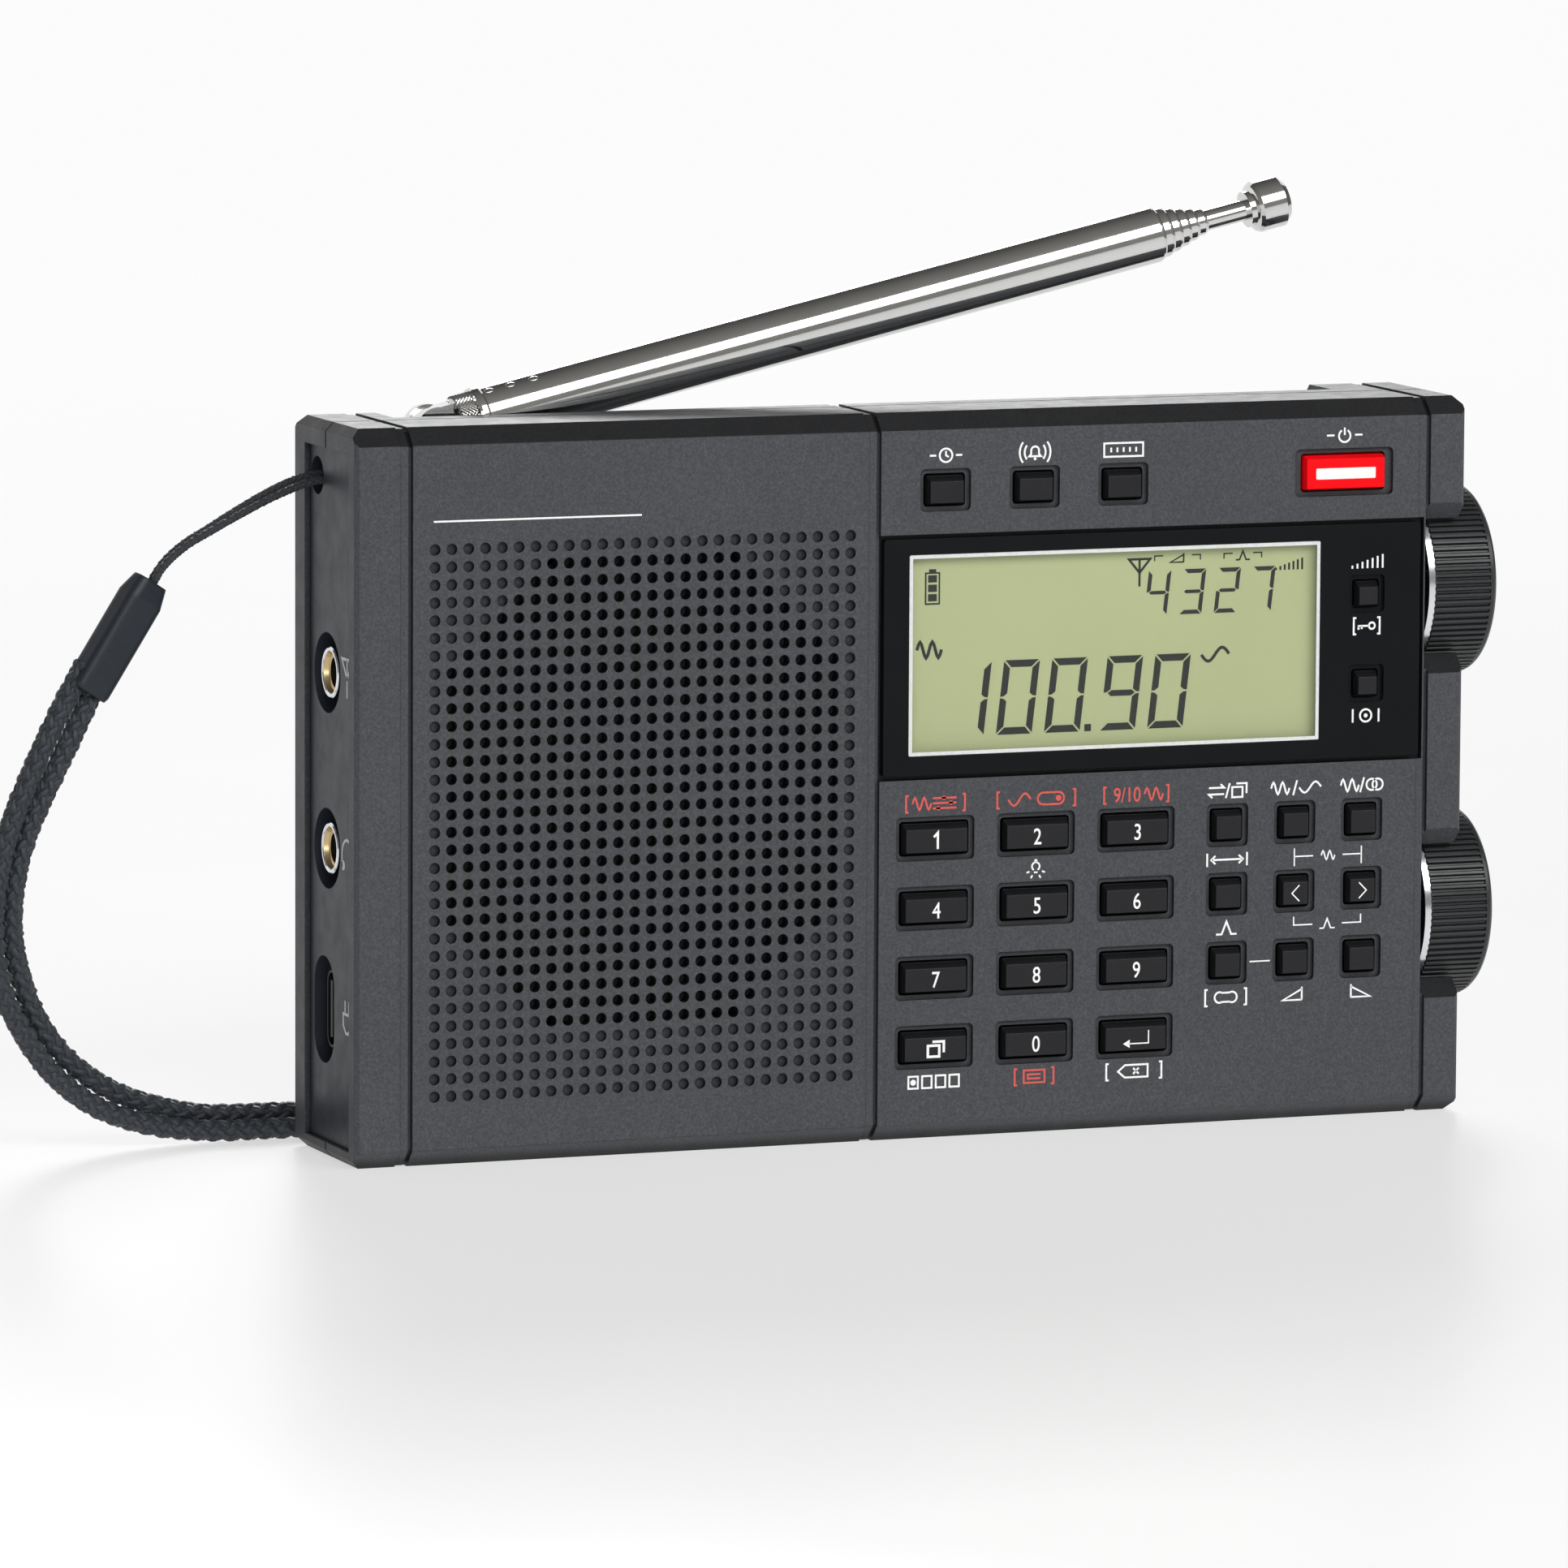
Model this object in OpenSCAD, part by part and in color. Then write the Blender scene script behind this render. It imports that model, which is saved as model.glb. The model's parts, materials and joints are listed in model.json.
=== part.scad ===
// Pocket multiband radio with keypad, display, side knobs, telescopic aerial
// and wrist strap. X runs along the width, Y from the front face (-) to the
// rear (+), Z up. The origin is the middle of the underside. Millimetres.

/* [Case] */
// Width of the case over its two end faces
body_w = 138; // [132:1:146]
// Depth of the case from front face to rear face
body_d = 22; // [21:0.5:25]
// Height of the case
body_h = 85; // [84:0.5:88]
// Thickness of the front and rear walls
wall_t = 1.8; // [1.6:0.1:2]
// Leg of the bevels along the top and bottom edges
edge_bevel = 2; // [1.2:0.1:2.2]
// Leg of the small bevels round the two end faces
end_bevel = 0.5; // [0.3:0.1:0.8]
// Distance of the case's parting plane in front of the mid plane
parting_offset = 0.4; // [0.2:0.1:0.8]
// Depth of the decorative grooves round the case
seam_depth = 0.5; // [0.3:0.1:0.7]
// Width of the decorative grooves round the case
seam_w = 0.5; // [0.3:0.1:0.6]

/* [Speaker grille] */
// Distance between neighbouring grille holes
hole_pitch = 2.03; // [1.9:0.01:2.05]
// Diameter of a grille hole
hole_d = 1.3; // [1:0.05:1.45]
// Least bare width beside the field of holes
hole_margin = 5; // [4.8:0.1:8]
// Least height of the lowest row of holes
hole_foot = 7.5; // [6:0.1:12]
// Depth of the blind holes
blind_depth = 0.6; // [0.4:0.1:1]
// Clearance between the loudspeaker and the edges of the grille panel
speaker_gap = 1.325; // [1.3:0.025:3]
// How far past the loudspeaker's rim the holes still go right through
open_margin = 1.7; // [-4:0.1:1.8]

/* [Display] */
// Width of the glossy display window
window_w = 67.8; // [66:0.2:68]
// Height of the glossy display window
window_h = 27.6; // [26:0.2:28]
// Thickness of the display window
window_t = 1.2; // [1:0.1:1.4]
// Width of the clear lens over the liquid crystal
lens_w = 51.9; // [48:0.1:52]
// Height of the clear lens over the liquid crystal
lens_h = 23.5; // [20:0.1:23.6]

/* [Keys] */
// Distance between the number keys' columns
pad_pitch_x = 12.63; // [12:0.05:12.7]
// Distance between the key rows
row_pitch = 8.14; // [7.8:0.02:8.3]
// Distance between the small keys' columns
small_pitch_x = 8.6; // [8:0.1:8.8]
// Distance between the three keys along the top
top_pitch_x = 11.13; // [10:0.1:12]
// How far a key can be pressed
key_travel = 0.4; // [0.3:0.05:0.5]
// How far a key stands proud of the front face
key_proud = 0.5; // [0.3:0.1:0.8]
// Clearance between a key and its well
key_gap = 0.25; // [0.2:0.05:0.4]

/* [Knobs] */
// Diameter of the two side knobs
knob_d = 22.7; // [21:0.1:23]
// Length of a knob along its shaft
knob_len = 8.1; // [7:0.1:9]
// Height of the upper knob's axis in a case of the usual height
knob_high = 62.45; // [61:0.25:63]
// Height of the lower knob's axis in a case of the usual height
knob_low = 23.8; // [23:0.2:25]
// Number of grip grooves round a knob
knob_grooves = 88; // [60:1:100]
// Diameter of a knob's shaft
shaft_d = 4; // [3:0.1:4.4]

/* [Aerial] */
// Outer diameter of the thickest aerial tube
mast_d = 6.7; // [6.3:0.1:6.9]
// Length of the thickest tube
mast_len = 86.2; // [70:0.2:87]
// Number of drawn tubes before the final rod
mast_sections = 6; // [6:1:6]
// Wall of each drawn tube
tube_wall = 0.3; // [0.25:0.05:0.3]
// Running clearance between the tubes, and of the pivots
slip = 0.05; // [0.03:0.01:0.06]
// Part of each tube's end that shows when the aerial is closed
step_len = 1.25; // [1:0.05:1.3]
// Length of bare rod between the last tube and the tip
rod_show = 5.4; // [4:0.1:5.6]
// Tilt of the aerial above the case top as it stands at rest
rest_tilt = 12.8; // [8:0.2:20]
// Diameter of the end cap on the rod
tip_d = 6.1; // [5:0.1:6.4]

/* [Sockets and strap] */
// Bore of the two plug sockets
jack_bore = 3.6; // [3.5:0.05:3.7]
// Diameter of the round recess in front of a socket
jack_recess_d = 9.3; // [8.6:0.1:9.6]
// Diameter of the hole that the strap goes through
strap_hole_d = 4.4; // [4:0.1:5]
// Diameter of the strap's thin cord
cord_d = 1.1; // [0.9:0.1:1.3]
// Diameter of the strap's braided cord
braid_d = 2.3; // [2:0.1:2.4]

/* [Rear] */
// Width of the battery cover
cover_w = 58; // [57:0.5:59]
// Height of the battery cover
cover_h = 40; // [39:0.5:41]
// Gap between the folding stand and the battery cover
stand_gap = 10; // [8:0.5:16]
// Length of the folding stand
stand_len = 38; // [30:1:40]
// Width of the battery pack
battery_w = 53; // [50:0.5:53.5]
// Height of the battery pack
battery_h = 34; // [30:0.5:34.5]
// Thickness of the battery pack
battery_t = 5.6; // [4:0.1:5.8]

/* [Hidden] */
$fn = 48;
eps = 0.01;
big = 400;

// Colours
case_col = [0.30, 0.31, 0.32];
panel_col = [0.22, 0.23, 0.25];
key_col = [0.12, 0.12, 0.13];
gloss_col = [0.06, 0.06, 0.07];
chrome_col = [0.80, 0.80, 0.82];
strap_col = [0.16, 0.18, 0.20];

// Case
front_y = -body_d / 2;
rear_y = body_d / 2;
left_x = -body_w / 2;
right_x = body_w / 2;
parting_y = -parting_offset;
inner_front = front_y + wall_t;
inner_rear = rear_y - wall_t;
side_wall = 1.8;
seam_left = left_x + 6.65;
seam_right = right_x - 4.75;
keypad_w = 74.2;
seam_mid = right_x - keypad_w;
usual_h = 85;
tall = body_h / usual_h;
strip_w = 1;
strip_depth = 0.15;
parting_groove = 0.2;
inner_left = left_x + 2.8;
inner_right = seam_right - 0.1 - side_wall;
inner_bottom = wall_t;
inner_top = body_h - wall_t;
seat_gap = 0.05;

// Speaker grille: the panel fills the front between the two left grooves
grille_left = seam_left + seam_w / 2;
grille_right = seam_mid - seam_w / 2;
grille_bottom = edge_bevel;
grille_top = body_h - edge_bevel;
hole_mid_x = (grille_left + grille_right) / 2 - 0.3;
hole_top_z = body_h - 13.92;
hole_cols = floor((grille_right - grille_left - hole_margin) / hole_pitch) + 1;
hole_rows = floor((hole_top_z - hole_foot) / hole_pitch) + 1;
open_z = hole_top_z - 14 * hole_pitch;
ledge = 1;
ledge_t = 1.2;
speaker_d = grille_right - grille_left - 2 * speaker_gap;
open_radius = speaker_d / 2 + open_margin;
open_half = [speaker_d * 0.452, speaker_d * 0.507];
open_corner = speaker_d * 0.713;
speaker_y = inner_front + seat_gap;
magnet_rear = inner_rear - 3.2;
magnet_r = speaker_d * 0.26;
rim_land = 3;
rim_t = 1;
rim_step = 1.6;
dish_top = 1;
dish_low = 0.8;
cone_t = 0.7;
cone_land = 3.05;
cone_deep = 4.9;
dome_deep = 3.6;

// Display
window_x = right_x - 39.6;
window_z = 56.6 * tall;
window_gap = 0.5;
window_rear = front_y + window_t;
lens_x = window_x - 4.82;
lens_z = window_z + 0.2;
lens_t = 0.8;
lens_r = 0.3;
lcd_over = 0.85;
lcd_t = 1.6;
lcd_back = [1, 0.6];
lcd_w = lens_w + 2 * lcd_over;
lcd_h = lens_h + 2 * lcd_over;
window_ledge = 1.5;

// Board
board_front = front_y + 6.5;
board_t = 1.4;
board_rear = board_front + board_t;
board_left = left_x + 4.1;
board_right = inner_right - 0.3;
board_bottom = inner_bottom + 2;
board_top = inner_top - 2;
switch_w = 3.6;
switch_t = 1;
plunger_r = 0.9;

// Keys: name, centre x, centre z, well size, cap size, well corner radius
pad_x = seam_mid + 7.27;
pad_z = window_z - window_h / 2 - 7.4;
pad_row = row_pitch * tall;
pad_well = [9.76, 5.14];
small_x = seam_right - 25.3;
small_well = [5.26, 5.08];
top_x = seam_mid + 8.27;
top_z = 76 * tall;
top_well = [6.27, 4.95];
side_x = window_x + 27.1;
side_zs = [window_z + 5.5, window_z - 5.1];
side_well = [4.5, 4.5];
power_x = seam_right - 10.85;
power_z = 76.55 * tall;
power_well = [12.5, 5.6];
power_rim = [0.9, 0.55];
rim_w = [0.55, 0.55];
rim_depth = 0.5;
well_r = 0.6;
cap_slope_t = 0.9;
cap_slope = [0.27, 0.65, 0.2];
power_slope = [0.15, 0.35, 0.15];
flange_t = 0.8;
flange_w = 0.35;
stop_gap = 0.3;
plunger_y = board_front - 1.45;
pad_cell = [for (r = [0:3]) for (c = [0:2]) [pad_x + c * pad_pitch_x, pad_z - r * pad_row]];
small_cell = [for (r = [0:2]) for (c = [0:2]) [small_x + c * small_pitch_x, pad_z - r * pad_row]];
top_cell = [for (c = [0:2]) [top_x + c * top_pitch_x, top_z]];
side_cell = [for (z = side_zs) [side_x, z]];
power_cell = [[power_x, power_z]];

// Knobs
knob_zs = [knob_high * tall, knob_low * tall];
knob_r = knob_d / 2;
knob_x = seam_right + 1.1;
knob_clear = 0.4;
notch_half = 8;
notch_bevel = 2.1;
groove_depth = 0.35;
flange_r = knob_r - 0.25;
encoder_x = inner_right - 6.6;
encoder_half = 4.4;
encoder_rear = 5.5;
shaft_hole_r = shaft_d / 2 + 0.5;
knob_bore_len = 5.6;

// Aerial, along its own axis from the tilt pivot
mast_r = mast_d / 2;
pivot = [left_x + 15.3, 6.55, body_h - 1.9];
channel_front = pivot[1] - 3.95;
channel_floor = pivot[2] - mast_r - 0.55;
channel_left = left_x + 9.2;
channel_right = right_x - 11.4;
channel_r = 1.2;
lip_h = 0.3;
liner_t = 1.2;
ear_r = 2.8;
ear_foot = ear_r - 0.65;
ear_t = 1;
tongue_t = 2.8;
ear_gap = 0.08;
pin_r = 0.74;
turret_base_t = 0.55;
turret_base_z = channel_floor + 0.15;
stem_r = 1.7;
clip_r = inner_rear - pivot[1] - 0.15;
clip_gap = 0.2;
collar_start = 3;
collar_end = 5.2;
ring_end = 6.4;
tube_end = ring_end + mast_len;
tube_step = tube_wall + slip;
nest_start = ring_end + 2;
lip = 0.45;
tip_len = 5.3;

// Sockets and strap, measured on the left end face
panel_y = [-8.6, 7];
panel_z = [1.9, body_h - 3];
panel_x = left_x + 0.6;
panel_t = 1.2;
panel_fit = 0.05;
opening_y = [-6.8, 6.3];
opening_z = [panel_z[0] + 1, panel_z[1] - 1];
jack_y = 0.7;
jack_zs = [56.1 * tall, 35.8 * tall];
cup_depth = 2.4;
cup_wall = 0.8;
ring_d = 5.6;
nose_len = 3;
jack_len = 13;
jack_half = 3;
socket_y = 1.8;
socket_z = 17 * tall;
socket_w = 7;
socket_h = 12.4;
socket_r = 3.4;
usb_deep = 0.9;
usb_w = 3.2;
usb_h = 9;
usb_len = 7;
usb_wall = 0.3;
usb_tongue_t = 0.7;
usb_base_h = 7;
strap_y = 4.2;
strap_z = body_h - 6.5;
bar_x = left_x + 5.2;
bar_r = 0.8;

// Rear
boss_r = 2.6;
boss_gap = 0.55;
screw_cells = [for (x = [left_x + 9, right_x - 9.5])
    for (z = [8, knob_zs[0] + encoder_half + boss_r + boss_gap]) [x, z]];
head_r = 2.2;
head_sink = 1.2;
shank_r = 1.2;
leaf_gap = 0.3;
leaf_pin_r = 0.7;
leaf_pin_len = 1.4;
cover_x = right_x - 45;
cover_bottom = 9;
cover_t = 1.4;
grip_half = 8;
grip_r = 0.7;
stand_left = left_x + 18;
stand_right = cover_x - cover_w / 2 - stand_gap;
stand_w = stand_right - stand_left;
stand_x = (stand_left + stand_right) / 2;
stand_top = 46;
stand_t = 2;
stand_border = [4, 6];
stand_dish = 0.6;
battery_z = cover_bottom + 3.4 + battery_h / 2;
bay_gap = 0.5;
bay_wall = 1.2;

// Thin cord of the strap: out of the sleeve, round the bar in the case and back
cord_pts = [
    [-90, 1.3, 65.9], [-89, 1.4, 67.2], [-88.1, 1.6, 68.5], [-86.7, 1.9, 69.8], [-84.5, 2.2, 71.3],
    [-81.7, 2.5, 72.7], [-78.6, 2.8, 74.2], [-75.1, 3.1, 75.8], [-71.8, 3.3, 77.1], [-69, 3.4, 77.9],
    [-66, 3.1, 78], [-64, 2.5, 78.1], [-62.3, 2.9, 78.2], [-61.7, 4.2, 78.4], [-62.3, 5.5, 78.6],
    [-64, 5.9, 78.7], [-66, 5.4, 78.7], [-69, 5, 78.5], [-71.8, 4.8, 77.9], [-75.1, 4.5, 76.6],
    [-78.6, 4.2, 74.9], [-81.7, 3.9, 73.3], [-84.4, 3.6, 71.9], [-86.5, 3.3, 70.3], [-88, 3, 68.7],
    [-89, 2.8, 67.2], [-90, 2.7, 65.9]];
// Braided cord of the strap: out of the sleeve, down to the ground, a loop behind the case and back
braid_pts = [
    [-97.2, 1.7, 57.9], [-99.8, 1.9, 53.2], [-102.8, 2.4, 46.8], [-105.3, 3.6, 40], [-106.6, 5.2, 33],
    [-106.5, 7.2, 26.4], [-104.9, 9.4, 20.6], [-102, 11.3, 15], [-97.9, 12.9, 9.6], [-92.7, 13.9, 5.4],
    [-86.4, 14.5, 2.8], [-79, 14.9, 1.5], [-70, 15.1, 1.25], [-58, 15.2, 1.25], [-46, 15, 1.25],
    [-36, 14.6, 1.25], [-28.5, 15.6, 1.25], [-24.4, 19.6, 1.25], [-25.6, 24.6, 1.25],
    [-31, 26.4, 1.25], [-39, 24.4, 1.25], [-48, 21, 1.3], [-58, 18.6, 2], [-69, 17.2, 2.7],
    [-78, 16.95, 3], [-85.4, 16.4, 4.8], [-90.9, 15.5, 7.3], [-95.6, 14.2, 10.9], [-99.3, 12.6, 15.4],
    [-102, 10.5, 20.6], [-103.8, 8.2, 26], [-104.3, 6.1, 32], [-103.2, 4.3, 38.6], [-100.7, 3.1, 44.8],
    [-98, 2.5, 50.6], [-95, 2.5, 56.7]];
sleeve_top = [-89.2, 2, 67.2];
sleeve_foot = [-97, 2, 54.8];
sleeve_size = [5, 3.6];
sleeve_round = 1;
sleeve_turn = 18;

// ---------- helpers ----------

// Rectangle with true round corners
module round_rect(w, h, r) {
    square([w - 2 * r, h], center = true);
    square([w, h - 2 * r], center = true);
    for (x = [-1, 1]) for (z = [-1, 1])
        translate([x * (w / 2 - r), z * (h / 2 - r)]) circle(r, $fn = 24);
}

// Box from corner to corner
module span(low, high) {
    translate(low) cube(high - low);
}

// Prism standing on the XZ plane outline of its child, from y0 to y1
module along_y(y0, y1) {
    translate([0, y1, 0]) rotate([90, 0, 0]) linear_extrude(y1 - y0) children();
}

// Cylinder along Y, X or the vertical, from one coordinate to the other
module rod_y(x, z, y0, y1, r) {
    translate([x, y1, z]) rotate([90, 0, 0]) cylinder(h = y1 - y0, r = r);
}
module rod_x(y, z, x0, x1, r) {
    translate([x0, y, z]) rotate([0, 90, 0]) cylinder(h = x1 - x0, r = r);
}

// Outline of the case seen from the end, shrunk all round by inset
function bevel_leg(leg, inset) = max(0.05, leg - inset * (2 - sqrt(2)));
module end_outline(inset) {
    y = body_d / 2 - inset;
    c = bevel_leg(edge_bevel, inset);
    z0 = inset;
    z1 = body_h - inset;
    polygon([[-y + c, z0], [y - c, z0], [y, z0 + c], [y, z1 - c], [y - c, z1], [-y + c, z1],
             [-y, z1 - c], [-y, z0 + c]]);
}

// Rectangle with bevelled corners, centred on x, from z0 to z1
module bevel_rect(half, z0, z1, c) {
    polygon([[-half + c, z0], [half - c, z0], [half, z0 + c], [half, z1 - c], [half - c, z1],
             [-half + c, z1], [-half, z1 - c], [-half, z0 + c]]);
}

// The solid case, shrunk all round by inset
module case_block(inset = 0) {
    half_x = body_w / 2 - inset;
    half_y = body_d / 2 - inset;
    c = bevel_leg(end_bevel, inset);
    intersection() {
        translate([-half_x, 0, 0]) rotate([90, 0, 90]) linear_extrude(2 * half_x) end_outline(inset);
        along_y(-body_d, body_d) bevel_rect(half_x, inset, body_h - inset, 2 * c);
        linear_extrude(body_h) bevel_rect(half_x, -half_y, half_y, c);
    }
}

// Skin of the case, of the given depth, between two X or two Y planes
module skin_x(x0, x1, depth) {
    difference() {
        span([x0, -big, -big], [x1, big, big]);
        case_block(depth);
    }
}
module skin_y(y0, y1, depth) {
    difference() {
        span([-big, y0, -big], [big, y1, big]);
        case_block(depth);
    }
}

// All grooves cut into the outside of the case
module case_grooves() {
    for (x = [seam_left, seam_mid, seam_right]) {
        skin_x(x - seam_w / 2, x + seam_w / 2, seam_depth);
        skin_x(x - seam_w / 2 - strip_w, x - seam_w / 2 + eps, strip_depth);
    }
    skin_y(parting_y - parting_groove, parting_y + parting_groove, parting_groove);
}

// Hollow of the case
module case_hollow() {
    span([inner_left, inner_front, inner_bottom], [inner_right, inner_rear, inner_top]);
}

// Space that a knob needs in the right end of the case
module knob_notch(z) {
    x0 = seam_right - 0.1;
    y = body_d / 2 + 1;
    b = notch_bevel + 1;
    rod_x(0, z, x0, right_x + 1, knob_r + knob_clear);
    translate([x0, 0, z]) rotate([90, 0, 90]) linear_extrude(body_w)
        polygon([[-y, -notch_half - b], [-y + b, -notch_half], [y - b, -notch_half], [y, -notch_half - b],
                 [y, notch_half + b], [y - b, notch_half], [-y + b, notch_half], [-y, notch_half + b]]);
}

// Holes for both knob shafts through the right wall
module shaft_holes() {
    for (z = knob_zs) rod_x(0, z, inner_right - 1, seam_right + 1, shaft_hole_r);
}

// Recess and opening for the panel in the left end
module panel_pocket() {
    span([left_x - 1, panel_y[0] - panel_fit, panel_z[0] - panel_fit],
         [panel_x + panel_t, panel_y[1] + panel_fit, panel_z[1] + panel_fit]);
    span([left_x - 1, opening_y[0], opening_z[0]], [inner_left + eps, opening_y[1], opening_z[1]]);
}

// Well of one key in a wall from y0 to y1
module key_well(cell, well, y0, y1, rim = rim_w) {
    translate([cell[0], 0, cell[1]]) {
        along_y(y0 - 1, y0 + rim_depth) round_rect(well[0], well[1], well_r);
        along_y(y0 - 1, y1 + 1) round_rect(well[0] - 2 * rim[0], well[1] - 2 * rim[1], well_r - 0.2);
    }
}

// Block facing -Y whose sides slope in by the sides', top's and bottom's amounts
module sloped_cap(w, h, t, slope) {
    ring = function(y, s) [[-w / 2 + s[0], y, -h / 2 + s[2]], [w / 2 - s[0], y, -h / 2 + s[2]],
                           [w / 2 - s[0], y, h / 2 - s[1]], [-w / 2 + s[0], y, h / 2 - s[1]]];
    polyhedron(concat(ring(0, slope), ring(t + eps, [0, 0, 0])),
               [[3, 2, 1, 0], [4, 5, 6, 7], [1, 5, 4, 0], [2, 6, 5, 1], [3, 7, 6, 2], [0, 4, 7, 3]]);
}

// A key: sloped cap, retaining flange behind the wall, and stem to its switch
module key(cell, well, wall_rear, shade = key_col, rim = rim_w, slope = cap_slope) {
    hole = [well[0] - 2 * rim[0], well[1] - 2 * rim[1]];
    w = hole[0] - 2 * key_gap;
    h = hole[1] - 2 * key_gap;
    face = front_y - key_proud;
    flange_y = wall_rear + stop_gap;
    color(shade) translate([cell[0], 0, cell[1]]) {
        along_y(face + cap_slope_t, flange_y + eps) round_rect(w, h, 0.2);
        translate([0, face, 0]) sloped_cap(w - 0.04, h - 0.04, cap_slope_t, slope);
        along_y(flange_y, flange_y + flange_t)
            round_rect(hole[0] + 2 * flange_w, hole[1] + 2 * flange_w, 0.4);
        along_y(flange_y + flange_t - eps, plunger_y - key_travel - 0.1) square([1.8, 1.8], center = true);
    }
}

// A leaf of the rear that turns on two moulded pins, hinge edge along X at z
module leaf(w, len, t, y_out, z, up) {
    r = t / 2;
    y = y_out - r;
    span([-w / 2, y - r, up > 0 ? z : z - len], [w / 2, y + r, up > 0 ? z + len : z]);
    rod_x(y, z, -w / 2, w / 2, r);
    rod_x(y, z, -w / 2 - leaf_pin_len, w / 2 + leaf_pin_len, leaf_pin_r);
}

// Pocket that holds such a leaf, with the holes for its pins
module leaf_pocket(w, len, t, z, up) {
    y = rear_y - t / 2;
    g = leaf_gap;
    span([-w / 2 - g, rear_y - t - g, up > 0 ? z - t / 2 - g : z - len - g],
         [w / 2 + g, rear_y + 1, up > 0 ? z + len + g : z + t / 2 + g]);
    rod_x(y, z, -w / 2 - leaf_pin_len - 0.3, w / 2 + leaf_pin_len + 0.3, leaf_pin_r + slip);
}

// Unit vector, and the points of a smooth curve through given points
function unit(v) = v / norm(v);
function spline_at(p, i, t) =
    let (n = len(p) - 1, a = p[max(i - 1, 0)], b = p[i], c = p[i + 1], d = p[min(i + 2, n)])
    0.5 * (2 * b + (c - a) * t + (2 * a - 5 * b + 4 * c - d) * t * t + (3 * b - a - 3 * c + d) * t * t * t);
function spline(p, steps) = concat(
    [for (i = [0:len(p) - 2]) for (s = [0:steps - 1]) spline_at(p, i, s / steps)], [p[len(p) - 1]]);
function tangent(p, i) = unit(p[min(i + 1, len(p) - 1)] - p[max(i - 1, 0)]);
function sides(p) = [for (i = 0, s = unit(cross(tangent(p, 0), [0, 1, 0.1])); i < len(p);
    i = i + 1, s = i < len(p) ? unit(s - tangent(p, i) * (s * tangent(p, i))) : s) s];

// Plain tube of eight sides swept along points
module cord_tube(p, r) {
    n = 8;
    s = sides(p);
    ring = [for (i = [0:len(p) - 1]) let (u = cross(tangent(p, i), s[i]))
        for (k = [0:n - 1]) p[i] + r * (cos(360 * k / n) * s[i] + sin(360 * k / n) * u)];
    last = n * (len(p) - 1);
    polyhedron(ring, concat(
        [[for (k = [0:n - 1]) k]],
        [for (i = [0:len(p) - 2]) for (k = [0:n - 1])
            [n * i + k, n * (i + 1) + k, n * (i + 1) + (k + 1) % n, n * i + (k + 1) % n]],
        [[for (k = [n - 1:-1:0]) last + k]]));
}

// Puts its children on the aerial's axis: local Z runs from the pivot to the tip
module on_mast() {
    translate(pivot) rotate([0, 90 - rest_tilt, 0]) children();
}

// ---------- case ----------

module front_shell() {
    color(case_col) difference() {
        union() {
            difference() {
                intersection() {
                    case_block();
                    span([-big, -big, -big], [big, parting_y, big]);
                }
                case_hollow();
            }
            // ledge behind the grille panel
            difference() {
                span([grille_left - 1, inner_front - eps, inner_bottom - eps],
                     [grille_right + 1, inner_front + ledge_t, inner_top + eps]);
                span([grille_left + ledge, -big, grille_bottom + ledge],
                     [grille_right - ledge, big, grille_top - ledge]);
            }
            // screw bosses
            for (c = screw_cells) rod_y(c[0], c[1], inner_front - eps, parting_y, boss_r);
        }
        case_grooves();
        panel_pocket();
        span([grille_left, front_y - 1, grille_bottom], [grille_right, inner_front, grille_top]);
        span([grille_left + ledge, front_y - 1, grille_bottom + ledge],
             [grille_right - ledge, inner_front + 1, grille_top - ledge]);
        // display pocket, and the opening behind it
        translate([window_x, 0, window_z]) {
            along_y(front_y - 1, window_rear) square([window_w + 2 * window_gap, window_h + 2 * window_gap],
                                                     center = true);
            along_y(front_y - 1, inner_front + 1)
                square([window_w - 2 * window_ledge, window_h - 2 * window_ledge + 1], center = true);
        }
        for (c = pad_cell) key_well(c, pad_well, front_y, inner_front);
        for (c = small_cell) key_well(c, small_well, front_y, inner_front);
        for (c = top_cell) key_well(c, top_well, front_y, inner_front);
        for (c = power_cell) key_well(c, power_well, front_y, inner_front, power_rim);
        for (z = knob_zs) knob_notch(z);
        shaft_holes();
        for (c = screw_cells) rod_y(c[0], c[1], inner_front + 3, 1, shank_r - 0.1);
    }
}

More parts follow.
